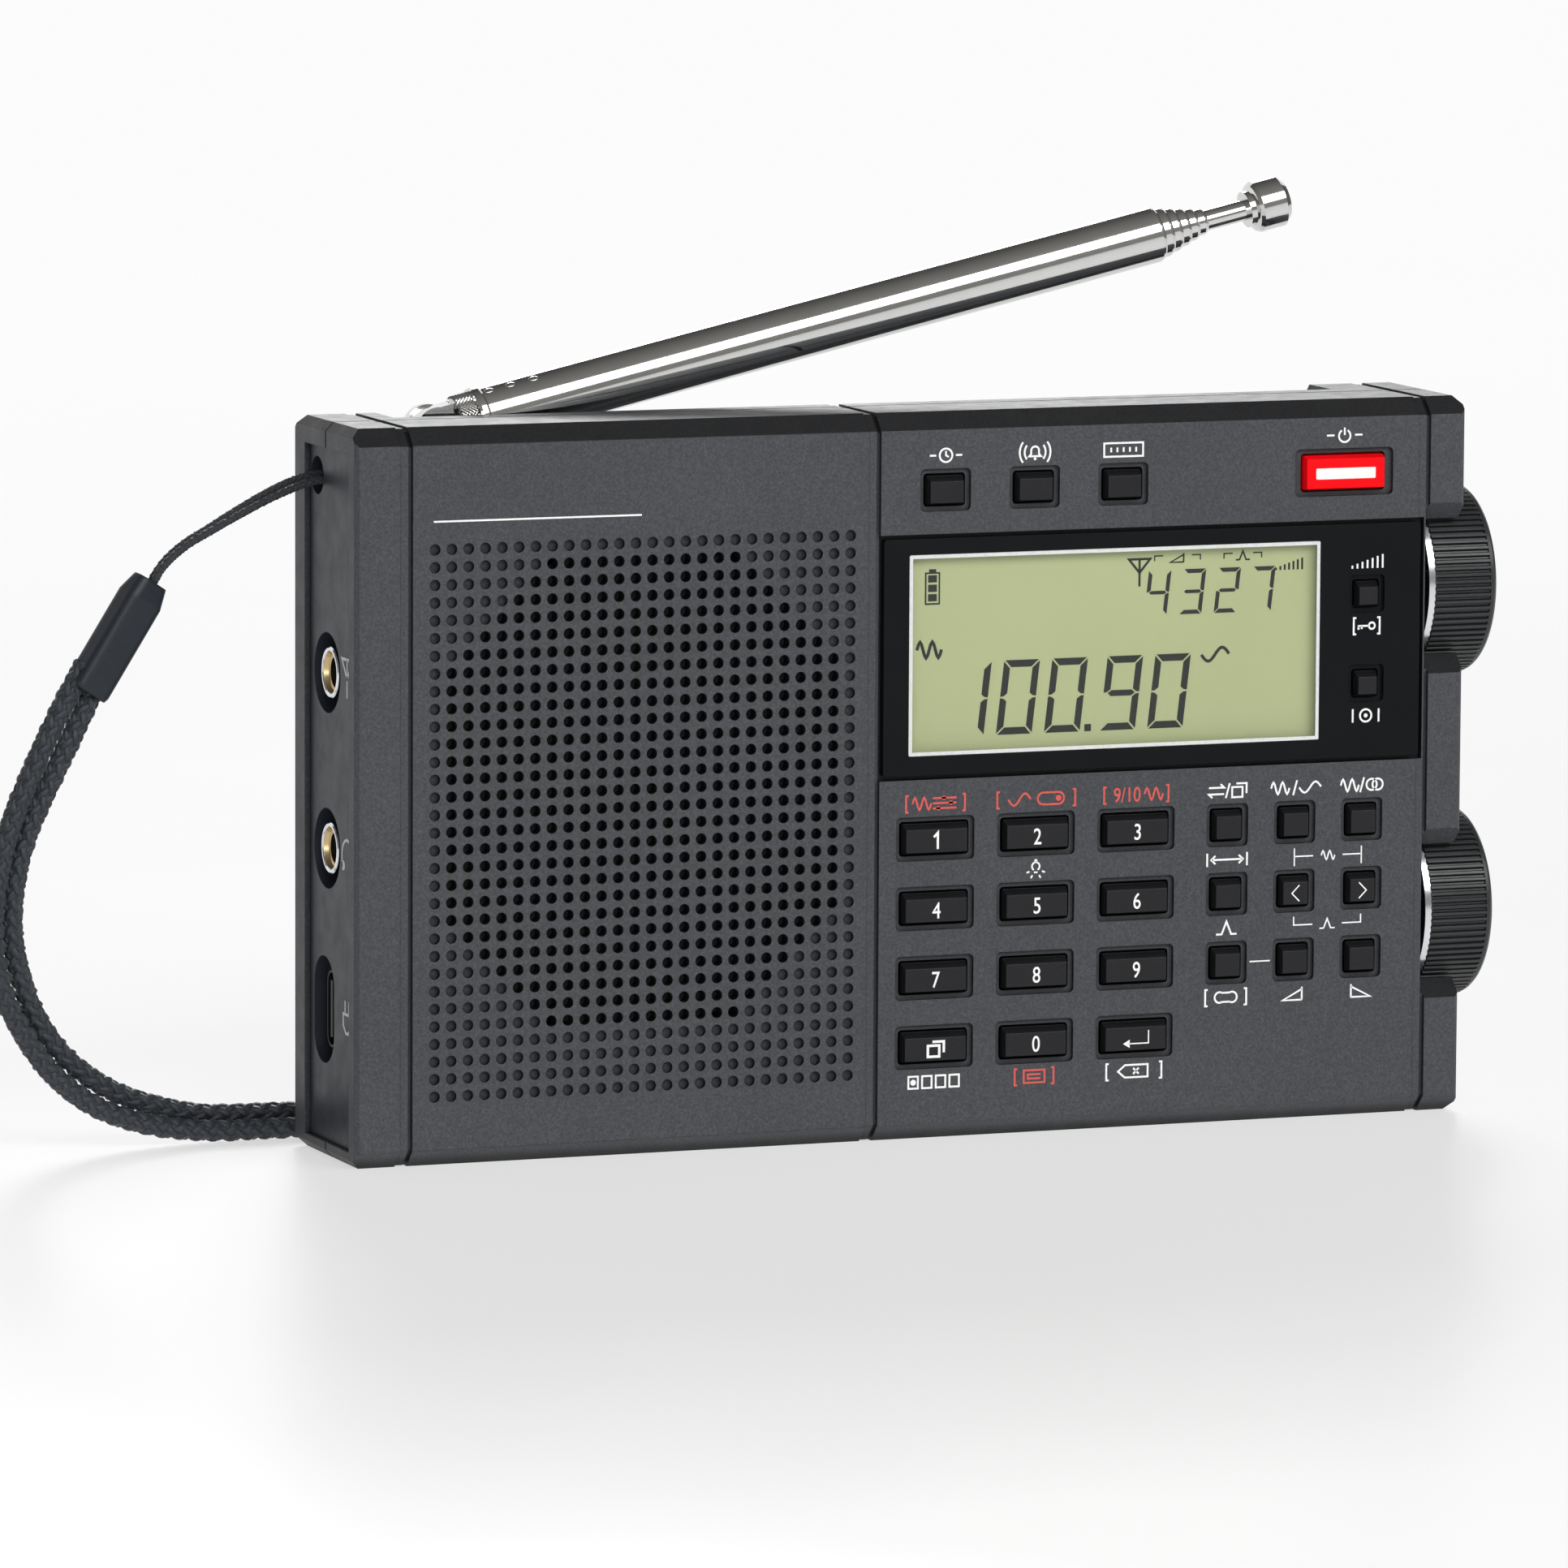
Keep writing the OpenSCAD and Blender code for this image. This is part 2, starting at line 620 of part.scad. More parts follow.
module rear_shell() {
    bay_x0 = cover_x - battery_w / 2 - bay_gap;
    bay_x1 = cover_x + battery_w / 2 + bay_gap;
    bay_z0 = battery_z - battery_h / 2 - bay_gap;
    bay_z1 = battery_z + battery_h / 2 + bay_gap;
    bay_y = inner_rear - battery_t - 0.4;
    color(case_col) difference() {
        union() {
            difference() {
                intersection() {
                    case_block();
                    span([-big, parting_y, -big], [big, big, big]);
                }
                case_hollow();
            }
            // walls round the aerial channel
            intersection() {
                case_block(0.1);
                span([channel_left - liner_t, channel_front - liner_t, channel_floor - liner_t],
                     [channel_right + liner_t, rear_y, body_h]);
            }
            // battery bay and the frame that its cover rests on
            span([bay_x0 - bay_wall, bay_y - bay_wall, bay_z0 - bay_wall],
                 [bay_x1 + bay_wall, inner_rear + eps, bay_z1 + bay_wall]);
            translate([cover_x, 0, 0]) span([-cover_w / 2 - 2.6, inner_rear - 1.2, cover_bottom - 2.4],
                 [cover_w / 2 + 0.6, inner_rear + eps, cover_bottom + cover_h + 2]);
            // back of the stand's pocket
            translate([stand_x, 0, 0]) span([-stand_w / 2 - 2.6, inner_rear - 1.8, stand_top - stand_len - 2],
                 [stand_w / 2 + 2.6, inner_rear + eps, stand_top + 2.4]);
            for (c = screw_cells) rod_y(c[0], c[1], parting_y, inner_rear + eps, boss_r);
            // bar that the strap loops round, and its foot
            translate([bar_x, strap_y, strap_z - 5]) cylinder(h = inner_top - strap_z + 5 + eps, r = bar_r);
            span([bar_x - bar_r, strap_y - bar_r, strap_z - 6],
                 [bar_x + bar_r, inner_rear + eps, strap_z - 5 + eps]);
        }
        case_grooves();
        panel_pocket();
        // aerial channel, open above and to the rear, with a low lip
        translate([channel_left, 0, 0]) rotate([90, 0, 90]) linear_extrude(channel_right - channel_left) {
            translate([channel_front + channel_r, channel_floor + channel_r]) circle(channel_r);
            translate([channel_front, channel_floor + channel_r]) square([big, big]);
            translate([channel_front + channel_r, channel_floor]) square([rear_y - 1 - channel_front - channel_r, 9]);
            translate([rear_y - 1 - eps, channel_floor + lip_h]) square([9, 9]);
        }
        translate([pivot[0], pivot[1], channel_floor - liner_t - 1]) cylinder(h = 5, r = stem_r + slip);
        span([bay_x0, bay_y, bay_z0], [bay_x1, rear_y + 1, bay_z1]);
        translate([cover_x, 0, 0]) leaf_pocket(cover_w, cover_h, cover_t, cover_bottom + cover_t / 2, 1);
        translate([stand_x, 0, 0]) leaf_pocket(stand_w, stand_len, stand_t, stand_top, -1);
        // finger notches beside the cover and the stand
        translate([cover_x, rear_y, cover_bottom + cover_h]) scale([2, 1, 1]) sphere(2.2);
        translate([stand_x, rear_y, stand_top - stand_len]) scale([2, 1, 1]) sphere(2.2);
        for (z = knob_zs) knob_notch(z);
        shaft_holes();
        for (c = screw_cells) {
            rod_y(c[0], c[1], -1, rear_y + 1, shank_r + 0.15);
            rod_y(c[0], c[1], rear_y - head_sink, rear_y + 1, head_r + 0.2);
        }
    }
}

// Whether a hole goes through: those inside an octagon over the speaker do
function is_open(dx, dz) = norm([dx, dz]) < open_radius && abs(dx) < open_half[0]
    && abs(dz) < open_half[1] && abs(dx) + abs(dz) < open_corner;

module speaker_grille() {
    color(case_col) difference() {
        span([grille_left, front_y, grille_bottom], [grille_right, inner_front, grille_top]);
        for (c = [0:hole_cols - 1]) for (r = [0:hole_rows - 1])
            let (dx = (c - (hole_cols - 1) / 2) * hole_pitch, z = hole_top_z - r * hole_pitch)
                rod_y(hole_mid_x + dx, z, front_y - 1,
                      is_open(dx, z - open_z) ? inner_front + 1 : front_y + blind_depth, hole_d / 2, $fn = 16);
        // stepped strip along the right edge
        span([grille_right - strip_w, front_y - 1, 0], [grille_right + 1, front_y + strip_depth, body_h]);
    }
}

module side_panel() {
    x1 = panel_x + panel_t;
    cup_x = panel_x + cup_depth;
    color(panel_col) difference() {
        union() {
            span([panel_x, panel_y[0], panel_z[0]], [x1, panel_y[1], panel_z[1]]);
            for (z = jack_zs) rod_x(jack_y, z, panel_x, cup_x + cup_wall, jack_recess_d / 2 + cup_wall);
            translate([panel_x, socket_y, socket_z]) rotate([90, 0, 90])
                linear_extrude(cup_depth + cup_wall - 0.8)
                    round_rect(socket_w + 2 * cup_wall - 0.4, socket_h + 2 * cup_wall, 2);
        }
        for (z = jack_zs) {
            rod_x(jack_y, z, panel_x - 1, cup_x, jack_recess_d / 2);
            rod_x(jack_y, z, panel_x - 1, cup_x + 2, ring_d / 2 + 0.2);
        }
        translate([panel_x - 1, socket_y, socket_z]) rotate([90, 0, 90]) {
            linear_extrude(1 + cup_depth - 0.8) round_rect(socket_w, socket_h, socket_r);
            linear_extrude(6) round_rect(usb_w + 0.4, usb_h + 0.4, usb_w / 2);
        }
        rod_x(strap_y, strap_z, panel_x - 1, x1 + 1, strap_hole_d / 2);
    }
}

// ---------- display ----------

module display_window() {
    color(gloss_col) difference() {
        translate([window_x, 0, window_z]) along_y(front_y, window_rear) round_rect(window_w, window_h, 0.4);
        translate([lens_x, 0, lens_z]) along_y(front_y - 1, window_rear + 1)
            round_rect(lens_w, lens_h, lens_r);
        for (c = side_cell) key_well(c, side_well, front_y, window_rear);
    }
}

module display_lens() {
    color([0.8, 0.9, 0.8, 0.4]) translate([lens_x, 0, lens_z])
        along_y(front_y + 0.05, front_y + 0.05 + lens_t)
            round_rect(lens_w - 2 * seat_gap, lens_h - 2 * seat_gap, lens_r);
}

module lcd_module() {
    color([0.66, 0.70, 0.50]) translate([lens_x, 0, lens_z]) {
        along_y(window_rear, window_rear + lcd_t) square([lcd_w, lcd_h], center = true);
        along_y(window_rear + lcd_t - eps, board_front)
            square([lcd_w - 2 * lcd_back[0], lcd_h - 2 * lcd_back[1]], center = true);
    }
}

// ---------- inside ----------

module main_board() {
    color([0.10, 0.35, 0.18]) {
        difference() {
            span([board_left, board_front, board_bottom], [board_right, board_rear, board_top]);
            rod_y(hole_mid_x, open_z, -big, big, speaker_d / 2 + 1.4);
            for (c = screw_cells) rod_y(c[0], c[1], -big, big, boss_r + 0.4);
        }
        // one press switch under each key
        for (c = concat(pad_cell, small_cell, top_cell, side_cell, power_cell)) translate([c[0], 0, c[1]]) {
            along_y(board_front - switch_t, board_front + eps) square([switch_w, switch_w], center = true);
            rod_y(0, 0, plunger_y, board_front, plunger_r);
        }
    }
}

module speaker_basket() {
    r = speaker_d / 2;
    color([0.45, 0.46, 0.48]) translate([hole_mid_x, 0, open_z]) rotate([90, 0, 0]) rotate_extrude() {
        polygon([[r - rim_land, -speaker_y], [r, -speaker_y], [r, -speaker_y - rim_t],
                 [r - rim_step, -speaker_y - rim_t], [magnet_r + rim_land, dish_top], [magnet_r, 0],
                 [magnet_r, -magnet_rear], [0, -magnet_rear], [0, dish_low],
                 [magnet_r + rim_step, 2 * dish_low], [r - rim_land, -speaker_y - rim_t]]);
    }
}

module speaker_cone() {
    r = speaker_d / 2 - cone_land;
    y = -speaker_y;
    neck_r = magnet_r * 0.62;
    color([0.13, 0.13, 0.14]) translate([hole_mid_x, 0, open_z]) rotate([90, 0, 0]) rotate_extrude()
        polygon([[r, y - 0.2], [r, y - 0.2 - cone_t], [r - cone_land, y - 0.5], [neck_r, y - cone_deep - 0.5],
                 [0, y - dome_deep - 1], [0, y - dome_deep], [neck_r * 0.8, y - cone_deep + cone_t],
                 [neck_r, y - cone_deep], [r - 2.8, y]]);
}

module battery_pack() {
    color([0.75, 0.75, 0.78]) translate([cover_x, 0, battery_z])
        along_y(inner_rear - battery_t - 0.35, inner_rear - 0.35) round_rect(battery_w, battery_h, 2);
}

module battery_cover() {
    color(case_col) translate([cover_x, 0, 0]) difference() {
        leaf(cover_w, cover_h - cover_t / 2, cover_t, rear_y, cover_bottom + cover_t / 2, 1);
        for (i = [-2:2]) rod_x(rear_y + 0.4, cover_bottom + cover_h - 5 + i * 2 * grip_r, -grip_half, grip_half,
                               grip_r);
    }
}

module kick_stand() {
    color(case_col) translate([stand_x, 0, 0]) difference() {
        leaf(stand_w, stand_len, stand_t, rear_y, stand_top, -1);
        translate([0, 0, stand_top - stand_len / 2 - 1]) along_y(rear_y - stand_dish, rear_y + 1)
            round_rect(stand_w - 2 * stand_border[0], stand_len - 2 * stand_border[1], 2);
    }
}

module encoders() {
    color([0.5, 0.52, 0.54]) for (z = knob_zs) difference() {
        span([encoder_x, board_rear, z - encoder_half], [inner_right - seat_gap, encoder_rear, z + encoder_half]);
        rod_x(0, z, encoder_x - 1, inner_right + 1, shaft_d / 2 + slip);
    }
}

module plug_sockets() {
    x0 = panel_x + cup_depth - 1.4;
    color(chrome_col) for (z = jack_zs) difference() {
        union() {
            rod_x(jack_y, z, x0, x0 + nose_len, ring_d / 2);
            span([x0 + nose_len - 0.4, board_rear, z - jack_half],
                 [x0 + jack_len, jack_y + jack_half, z + jack_half]);
        }
        rod_x(jack_y, z, x0 - 1, x0 + jack_len - 1, jack_bore / 2);
    }
}

module charge_socket() {
    x0 = panel_x + usb_deep;
    color(chrome_col) translate([x0, socket_y, socket_z]) rotate([90, 0, 90]) {
        difference() {
            linear_extrude(usb_len) round_rect(usb_w, usb_h, usb_w / 2 - 0.01);
            translate([0, 0, -1]) linear_extrude(usb_len - 1)
                round_rect(usb_w - 2 * usb_wall, usb_h - 2 * usb_wall, usb_w / 2 - usb_wall - 0.01);
        }
        linear_extrude(usb_len - 0.5) square([usb_tongue_t, usb_h - 2.4], center = true);
    }
    color(chrome_col) span([x0 + usb_len / 2, board_rear, socket_z - usb_base_h / 2],
                           [x0 + usb_len, socket_y - usb_w / 2 + 0.1, socket_z + usb_base_h / 2]);
}

module screws() {
    color(chrome_col) for (c = screw_cells) difference() {
        union() {
            rod_y(c[0], c[1], rear_y - head_sink, rear_y - 0.3, head_r);
            rod_y(c[0], c[1], inner_front + 3.4, rear_y - head_sink + eps, shank_r - 0.15);
        }
        for (a = [0, 90]) translate([c[0], rear_y, c[1]]) rotate([0, a, 0])
            cube([2.4, 1.6, 0.5], center = true);
    }
}

// ---------- knobs ----------

module knob(z) {
    grip_len = knob_len - 1;
    n = knob_grooves;
    color(key_col) translate([knob_x, 0, z]) rotate([0, 90, 0]) difference() {
        union() {
            linear_extrude(grip_len) polygon([for (i = [0:n - 1]) for (k = [0:3])
                let (a = 360 / n * (i + [0, 0.38, 0.56, 0.82][k]), r = knob_r - (k < 2 ? 0 : groove_depth))
                    [r * cos(a), r * sin(a)]]);
            translate([0, 0, grip_len - eps]) rotate_extrude($fn = 96)
                polygon([[0, 0], [knob_r - 0.15, 0], [knob_r - 0.2, 0.45], [knob_r - 0.5, 0.8],
                         [knob_r - 1, 1 + eps], [0, 1 + eps]]);
        }
        translate([0, 0, knob_len - 0.5]) cylinder(h = 1, r1 = knob_r - 2.6, r2 = knob_r - 2.1, $fn = 96);
        translate([0, 0, -1]) cylinder(h = 1 + knob_bore_len, r = shaft_d / 2 + slip / 2);
    }
}

module spindle(z) {
    color(chrome_col) {
        rod_x(0, z, encoder_x + 0.5, knob_x + knob_bore_len - 0.2, shaft_d / 2);
        rod_x(0, z, seam_right + 0.25, knob_x - 0.05, flange_r, $fn = 96);
    }
}

// ---------- aerial ----------

module aerial_turret() {
    y0 = pivot[1] - tongue_t / 2 - ear_gap - ear_t;
    y1 = pivot[1] + tongue_t / 2 + ear_gap + ear_t;
    color(chrome_col) {
        translate([pivot[0], pivot[1], turret_base_z]) cylinder(h = turret_base_t, r = ear_r + 0.1);
        translate([pivot[0], pivot[1], channel_floor - liner_t - clip_gap - 1]) {
            cylinder(h = turret_base_z - channel_floor + liner_t + clip_gap + 1 + eps, r = stem_r);
            cylinder(h = 1, r = clip_r);
        }
        for (y = [y0, y1 - ear_t]) {
            rod_y(pivot[0], pivot[2], y, y + ear_t, ear_r);
            translate([pivot[0] - ear_foot, y, turret_base_z])
                cube([2 * ear_foot, ear_t, pivot[2] - turret_base_z]);
        }
        rod_y(pivot[0], pivot[2], y0 + 0.2, y1 - 0.2, pin_r);
    }
}

module aerial_elbow() {
    color(chrome_col) difference() {
        on_mast() {
            translate([0, tongue_t / 2, 0]) rotate([90, 0, 0]) cylinder(h = tongue_t, r = ear_r - 0.3);
            translate([-ear_r + 0.3, -tongue_t / 2, 0]) cube([2 * ear_r - 0.6, tongue_t, collar_start + 0.4]);
            translate([0, 0, collar_start]) linear_extrude(collar_end - collar_start)
                polygon([for (i = [0:71]) let (r = mast_r - (i % 2 == 0 ? 0.35 : 0.55))
                    [r * cos(5 * i), r * sin(5 * i)]]);
            translate([0, 0, collar_end - eps]) rotate_extrude()
                polygon([[0, 0], [mast_r + 0.05, 0], [mast_r + 0.2, 0.3], [mast_r + 0.2, 0.9], [mast_r, 1.2], [0, 1.2]]);
            // spigot that the first tube is pressed on
            translate([0, 0, ring_end - 0.1]) cylinder(h = 1.6, r = mast_r - tube_wall - 0.02);
        }
        rod_y(pivot[0], pivot[2], pivot[1] - tongue_t, pivot[1] + tongue_t, pin_r + slip);
    }
}

// Tube k of the aerial, 1 for the thickest
module aerial_tube(k) {
    r = mast_r - tube_step * (k - 1);
    start = k == 1 ? ring_end : nest_start + 0.4 * k;
    end = tube_end + step_len * (k - 1);
    long = end - start;
    color(chrome_col) on_mast() translate([0, 0, start]) difference() {
        rotate_extrude() polygon([[0, 0], [r, 0], [r, long - lip], [r - lip * 0.15, long - lip * 0.5],
                                  [r - lip * 0.45, long], [0, long]]);
        translate([0, 0, -1]) cylinder(h = big, r = r - tube_wall);
    }
}

module aerial_rod() {
    r = mast_r - tube_step * mast_sections;
    start = nest_start + 0.4 * (mast_sections + 1);
    tip_at = tube_end + step_len * (mast_sections - 1) + rod_show;
    color(chrome_col) on_mast() {
        translate([0, 0, start]) cylinder(h = tip_at - start + eps, r = r);
        translate([0, 0, tip_at]) rotate_extrude() polygon([[0, 0], [tip_d / 2 - 0.9, 0], [tip_d / 2 - 0.9, 0.7],
            [tip_d / 2 - 0.3, 0.9], [tip_d / 2, 1.3], [tip_d / 2, tip_len - 1], [tip_d / 2 - 0.6, tip_len - 0.3],
            [tip_d / 2 - 1.4, tip_len], [0, tip_len]]);
    }
}

// ---------- strap ----------

module strap_cord() {
    color(strap_col) cord_tube(spline(cord_pts, 2), cord_d / 2);
}

module strap_braid() {
    color(strap_col) cord_tube(spline(braid_pts, 2), braid_d / 2);
}

// Section of the sleeve, less than its full size by a margin all round
module sleeve_section(less) {
    rotate(sleeve_turn) round_rect(sleeve_size[0] - 2 * less, sleeve_size[1] - 2 * less, sleeve_round, $fn = 32);
}

module strap_sleeve() {
    axis = sleeve_top - sleeve_foot;
    len = norm(axis);
    color(strap_col) translate(sleeve_foot) rotate([0, atan2(axis[0], axis[2]), 0]) hull() {
        linear_extrude(0.4) sleeve_section(0.15);
        translate([0, 0, 0.6]) linear_extrude(len - 3) sleeve_section(0);
        translate([0, 0, len - 0.5]) linear_extrude(0.5) sleeve_section(0.45);
    }
}

front_shell();
rear_shell();
speaker_grille();
side_panel();
display_window();
display_lens();
lcd_module();
main_board();
speaker_basket();
speaker_cone();
battery_pack();
battery_cover();
kick_stand();
aerial_turret();
aerial_elbow();
aerial_tube(1);  // aerial_tube_1
aerial_tube(2);  // aerial_tube_2
aerial_tube(3);  // aerial_tube_3
aerial_tube(4);  // aerial_tube_4
aerial_tube(5);  // aerial_tube_5
aerial_tube(6);  // aerial_tube_6
aerial_rod();
knob(knob_zs[0]);  // upper_knob
knob(knob_zs[1]);  // lower_knob
spindle(knob_zs[0]);  // upper_spindle
spindle(knob_zs[1]);  // lower_spindle
encoders();
plug_sockets();
charge_socket();
screws();
strap_cord();
strap_sleeve();
strap_braid();
key(power_cell[0], power_well, inner_front, "red", power_rim, power_slope);  // power_key
key(pad_cell[0], pad_well, inner_front);  // key_1
key(pad_cell[1], pad_well, inner_front);  // key_2
key(pad_cell[2], pad_well, inner_front);  // key_3
key(pad_cell[3], pad_well, inner_front);  // key_4
key(pad_cell[4], pad_well, inner_front);  // key_5
key(pad_cell[5], pad_well, inner_front);  // key_6
key(pad_cell[6], pad_well, inner_front);  // key_7
key(pad_cell[7], pad_well, inner_front);  // key_8
key(pad_cell[8], pad_well, inner_front);  // key_9
key(pad_cell[9], pad_well, inner_front);  // key_memory
key(pad_cell[10], pad_well, inner_front);  // key_0
key(pad_cell[11], pad_well, inner_front);  // key_enter
key(top_cell[0], top_well, inner_front);  // top_key_1
key(top_cell[1], top_well, inner_front);  // top_key_2
key(top_cell[2], top_well, inner_front);  // top_key_3
key(side_cell[0], side_well, window_rear);  // side_key_1
key(side_cell[1], side_well, window_rear);  // side_key_2
key(small_cell[0], small_well, inner_front);  // band_key_1
key(small_cell[1], small_well, inner_front);  // band_key_2
key(small_cell[2], small_well, inner_front);  // band_key_3
key(small_cell[3], small_well, inner_front);  // band_key_4
key(small_cell[4], small_well, inner_front);  // band_key_5
key(small_cell[5], small_well, inner_front);  // band_key_6
key(small_cell[6], small_well, inner_front);  // band_key_7
key(small_cell[7], small_well, inner_front);  // band_key_8
key(small_cell[8], small_well, inner_front);  // band_key_9
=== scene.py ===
"""Looks of the portable radio: finishes, printed marks, display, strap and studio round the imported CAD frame.

Lengths are in metres unless a name ends in _mm. X runs along the width,
Y from the front face to the rear, Z up.
"""
import json
import logging
import math
from collections.abc import Iterable, Sequence
from dataclasses import dataclass, field
from enum import Enum

import bmesh
import bpy
from mathutils import Matrix, Vector


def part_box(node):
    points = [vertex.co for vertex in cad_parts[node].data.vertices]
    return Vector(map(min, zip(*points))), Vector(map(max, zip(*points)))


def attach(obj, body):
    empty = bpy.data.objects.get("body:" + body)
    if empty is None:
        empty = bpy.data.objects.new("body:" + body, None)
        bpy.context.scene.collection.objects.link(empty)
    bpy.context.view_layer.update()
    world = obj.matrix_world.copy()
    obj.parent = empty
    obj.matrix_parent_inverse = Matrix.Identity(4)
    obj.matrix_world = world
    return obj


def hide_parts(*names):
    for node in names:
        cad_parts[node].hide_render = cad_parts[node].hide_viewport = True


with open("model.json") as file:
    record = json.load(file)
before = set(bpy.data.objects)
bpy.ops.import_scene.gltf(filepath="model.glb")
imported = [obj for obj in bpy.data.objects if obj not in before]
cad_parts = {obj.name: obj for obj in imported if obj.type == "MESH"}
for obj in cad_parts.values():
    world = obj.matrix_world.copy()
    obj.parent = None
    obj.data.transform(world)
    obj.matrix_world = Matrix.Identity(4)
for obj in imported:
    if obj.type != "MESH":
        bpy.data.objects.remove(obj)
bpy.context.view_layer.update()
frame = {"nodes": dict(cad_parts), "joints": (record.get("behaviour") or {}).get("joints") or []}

MM = 0.001
PRINT_LIFT = 0.012 * MM
SHARPEST_MITRE = 0.35
LOG = logging.getLogger("radio")

Point2 = tuple[float, float]
Colour = tuple[float, float, float]
Line = tuple[list[Point2], bool]


# ---------------------------------------------------------------- frame helpers


@dataclass(frozen=True)
class Face:
    """The box of one CAD node, read as a front face."""

    low: Vector
    high: Vector

    @property
    def middle(self) -> Vector:
        """Middle of the box."""
        return (self.low + self.high) / 2

    @property
    def width(self) -> float:
        """Size along X."""
        return self.high.x - self.low.x

    @property
    def height(self) -> float:
        """Size along Z."""
        return self.high.z - self.low.z


def face_of(node: str) -> Face:
    """Reads where a CAD node lies.

    Args:
        node: Name of the CAD node.

    Returns:
        The node's box.
    """
    low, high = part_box(node)
    return Face(Vector(low), Vector(high))


def box_round(points: Sequence[Vector]) -> Face:
    """Returns the box round some points."""
    return Face(Vector([min(p[i] for p in points) for i in range(3)]),
                Vector([max(p[i] for p in points) for i in range(3)]))


def cap_of(node: str, depth: float = 0.03 * MM) -> Face:
    """Reads the box of a node's frontmost flat.

    Args:
        node: Name of the CAD node.
        depth: How far behind the front a corner may lie.

    Returns:
        The flat's box.
    """
    mesh = frame["nodes"][node].data
    front = min(vertex.co.y for vertex in mesh.vertices)
    return box_round([vertex.co for vertex in mesh.vertices if vertex.co.y < front + depth])


def link(obj: bpy.types.Object) -> bpy.types.Object:
    """Puts an object into the scene and returns it."""
    bpy.context.scene.collection.objects.link(obj)
    return obj


def mesh_object(name: str, mesh: bpy.types.Mesh,
                material: bpy.types.Material | None = None) -> bpy.types.Object:
    """Makes an object of a mesh.

    Args:
        name: Name of the object and its mesh.
        mesh: Mesh in the row frame.
        material: Material of every face, if given.

    Returns:
        The new object.
    """
    mesh.name = name
    if material is not None:
        mesh.materials.clear()
        mesh.materials.append(material)
    return link(bpy.data.objects.new(name, mesh))


def carry(piece: bpy.types.Object, body: str) -> None:
    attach(piece, body)


# ---------------------------------------------------------------- materials


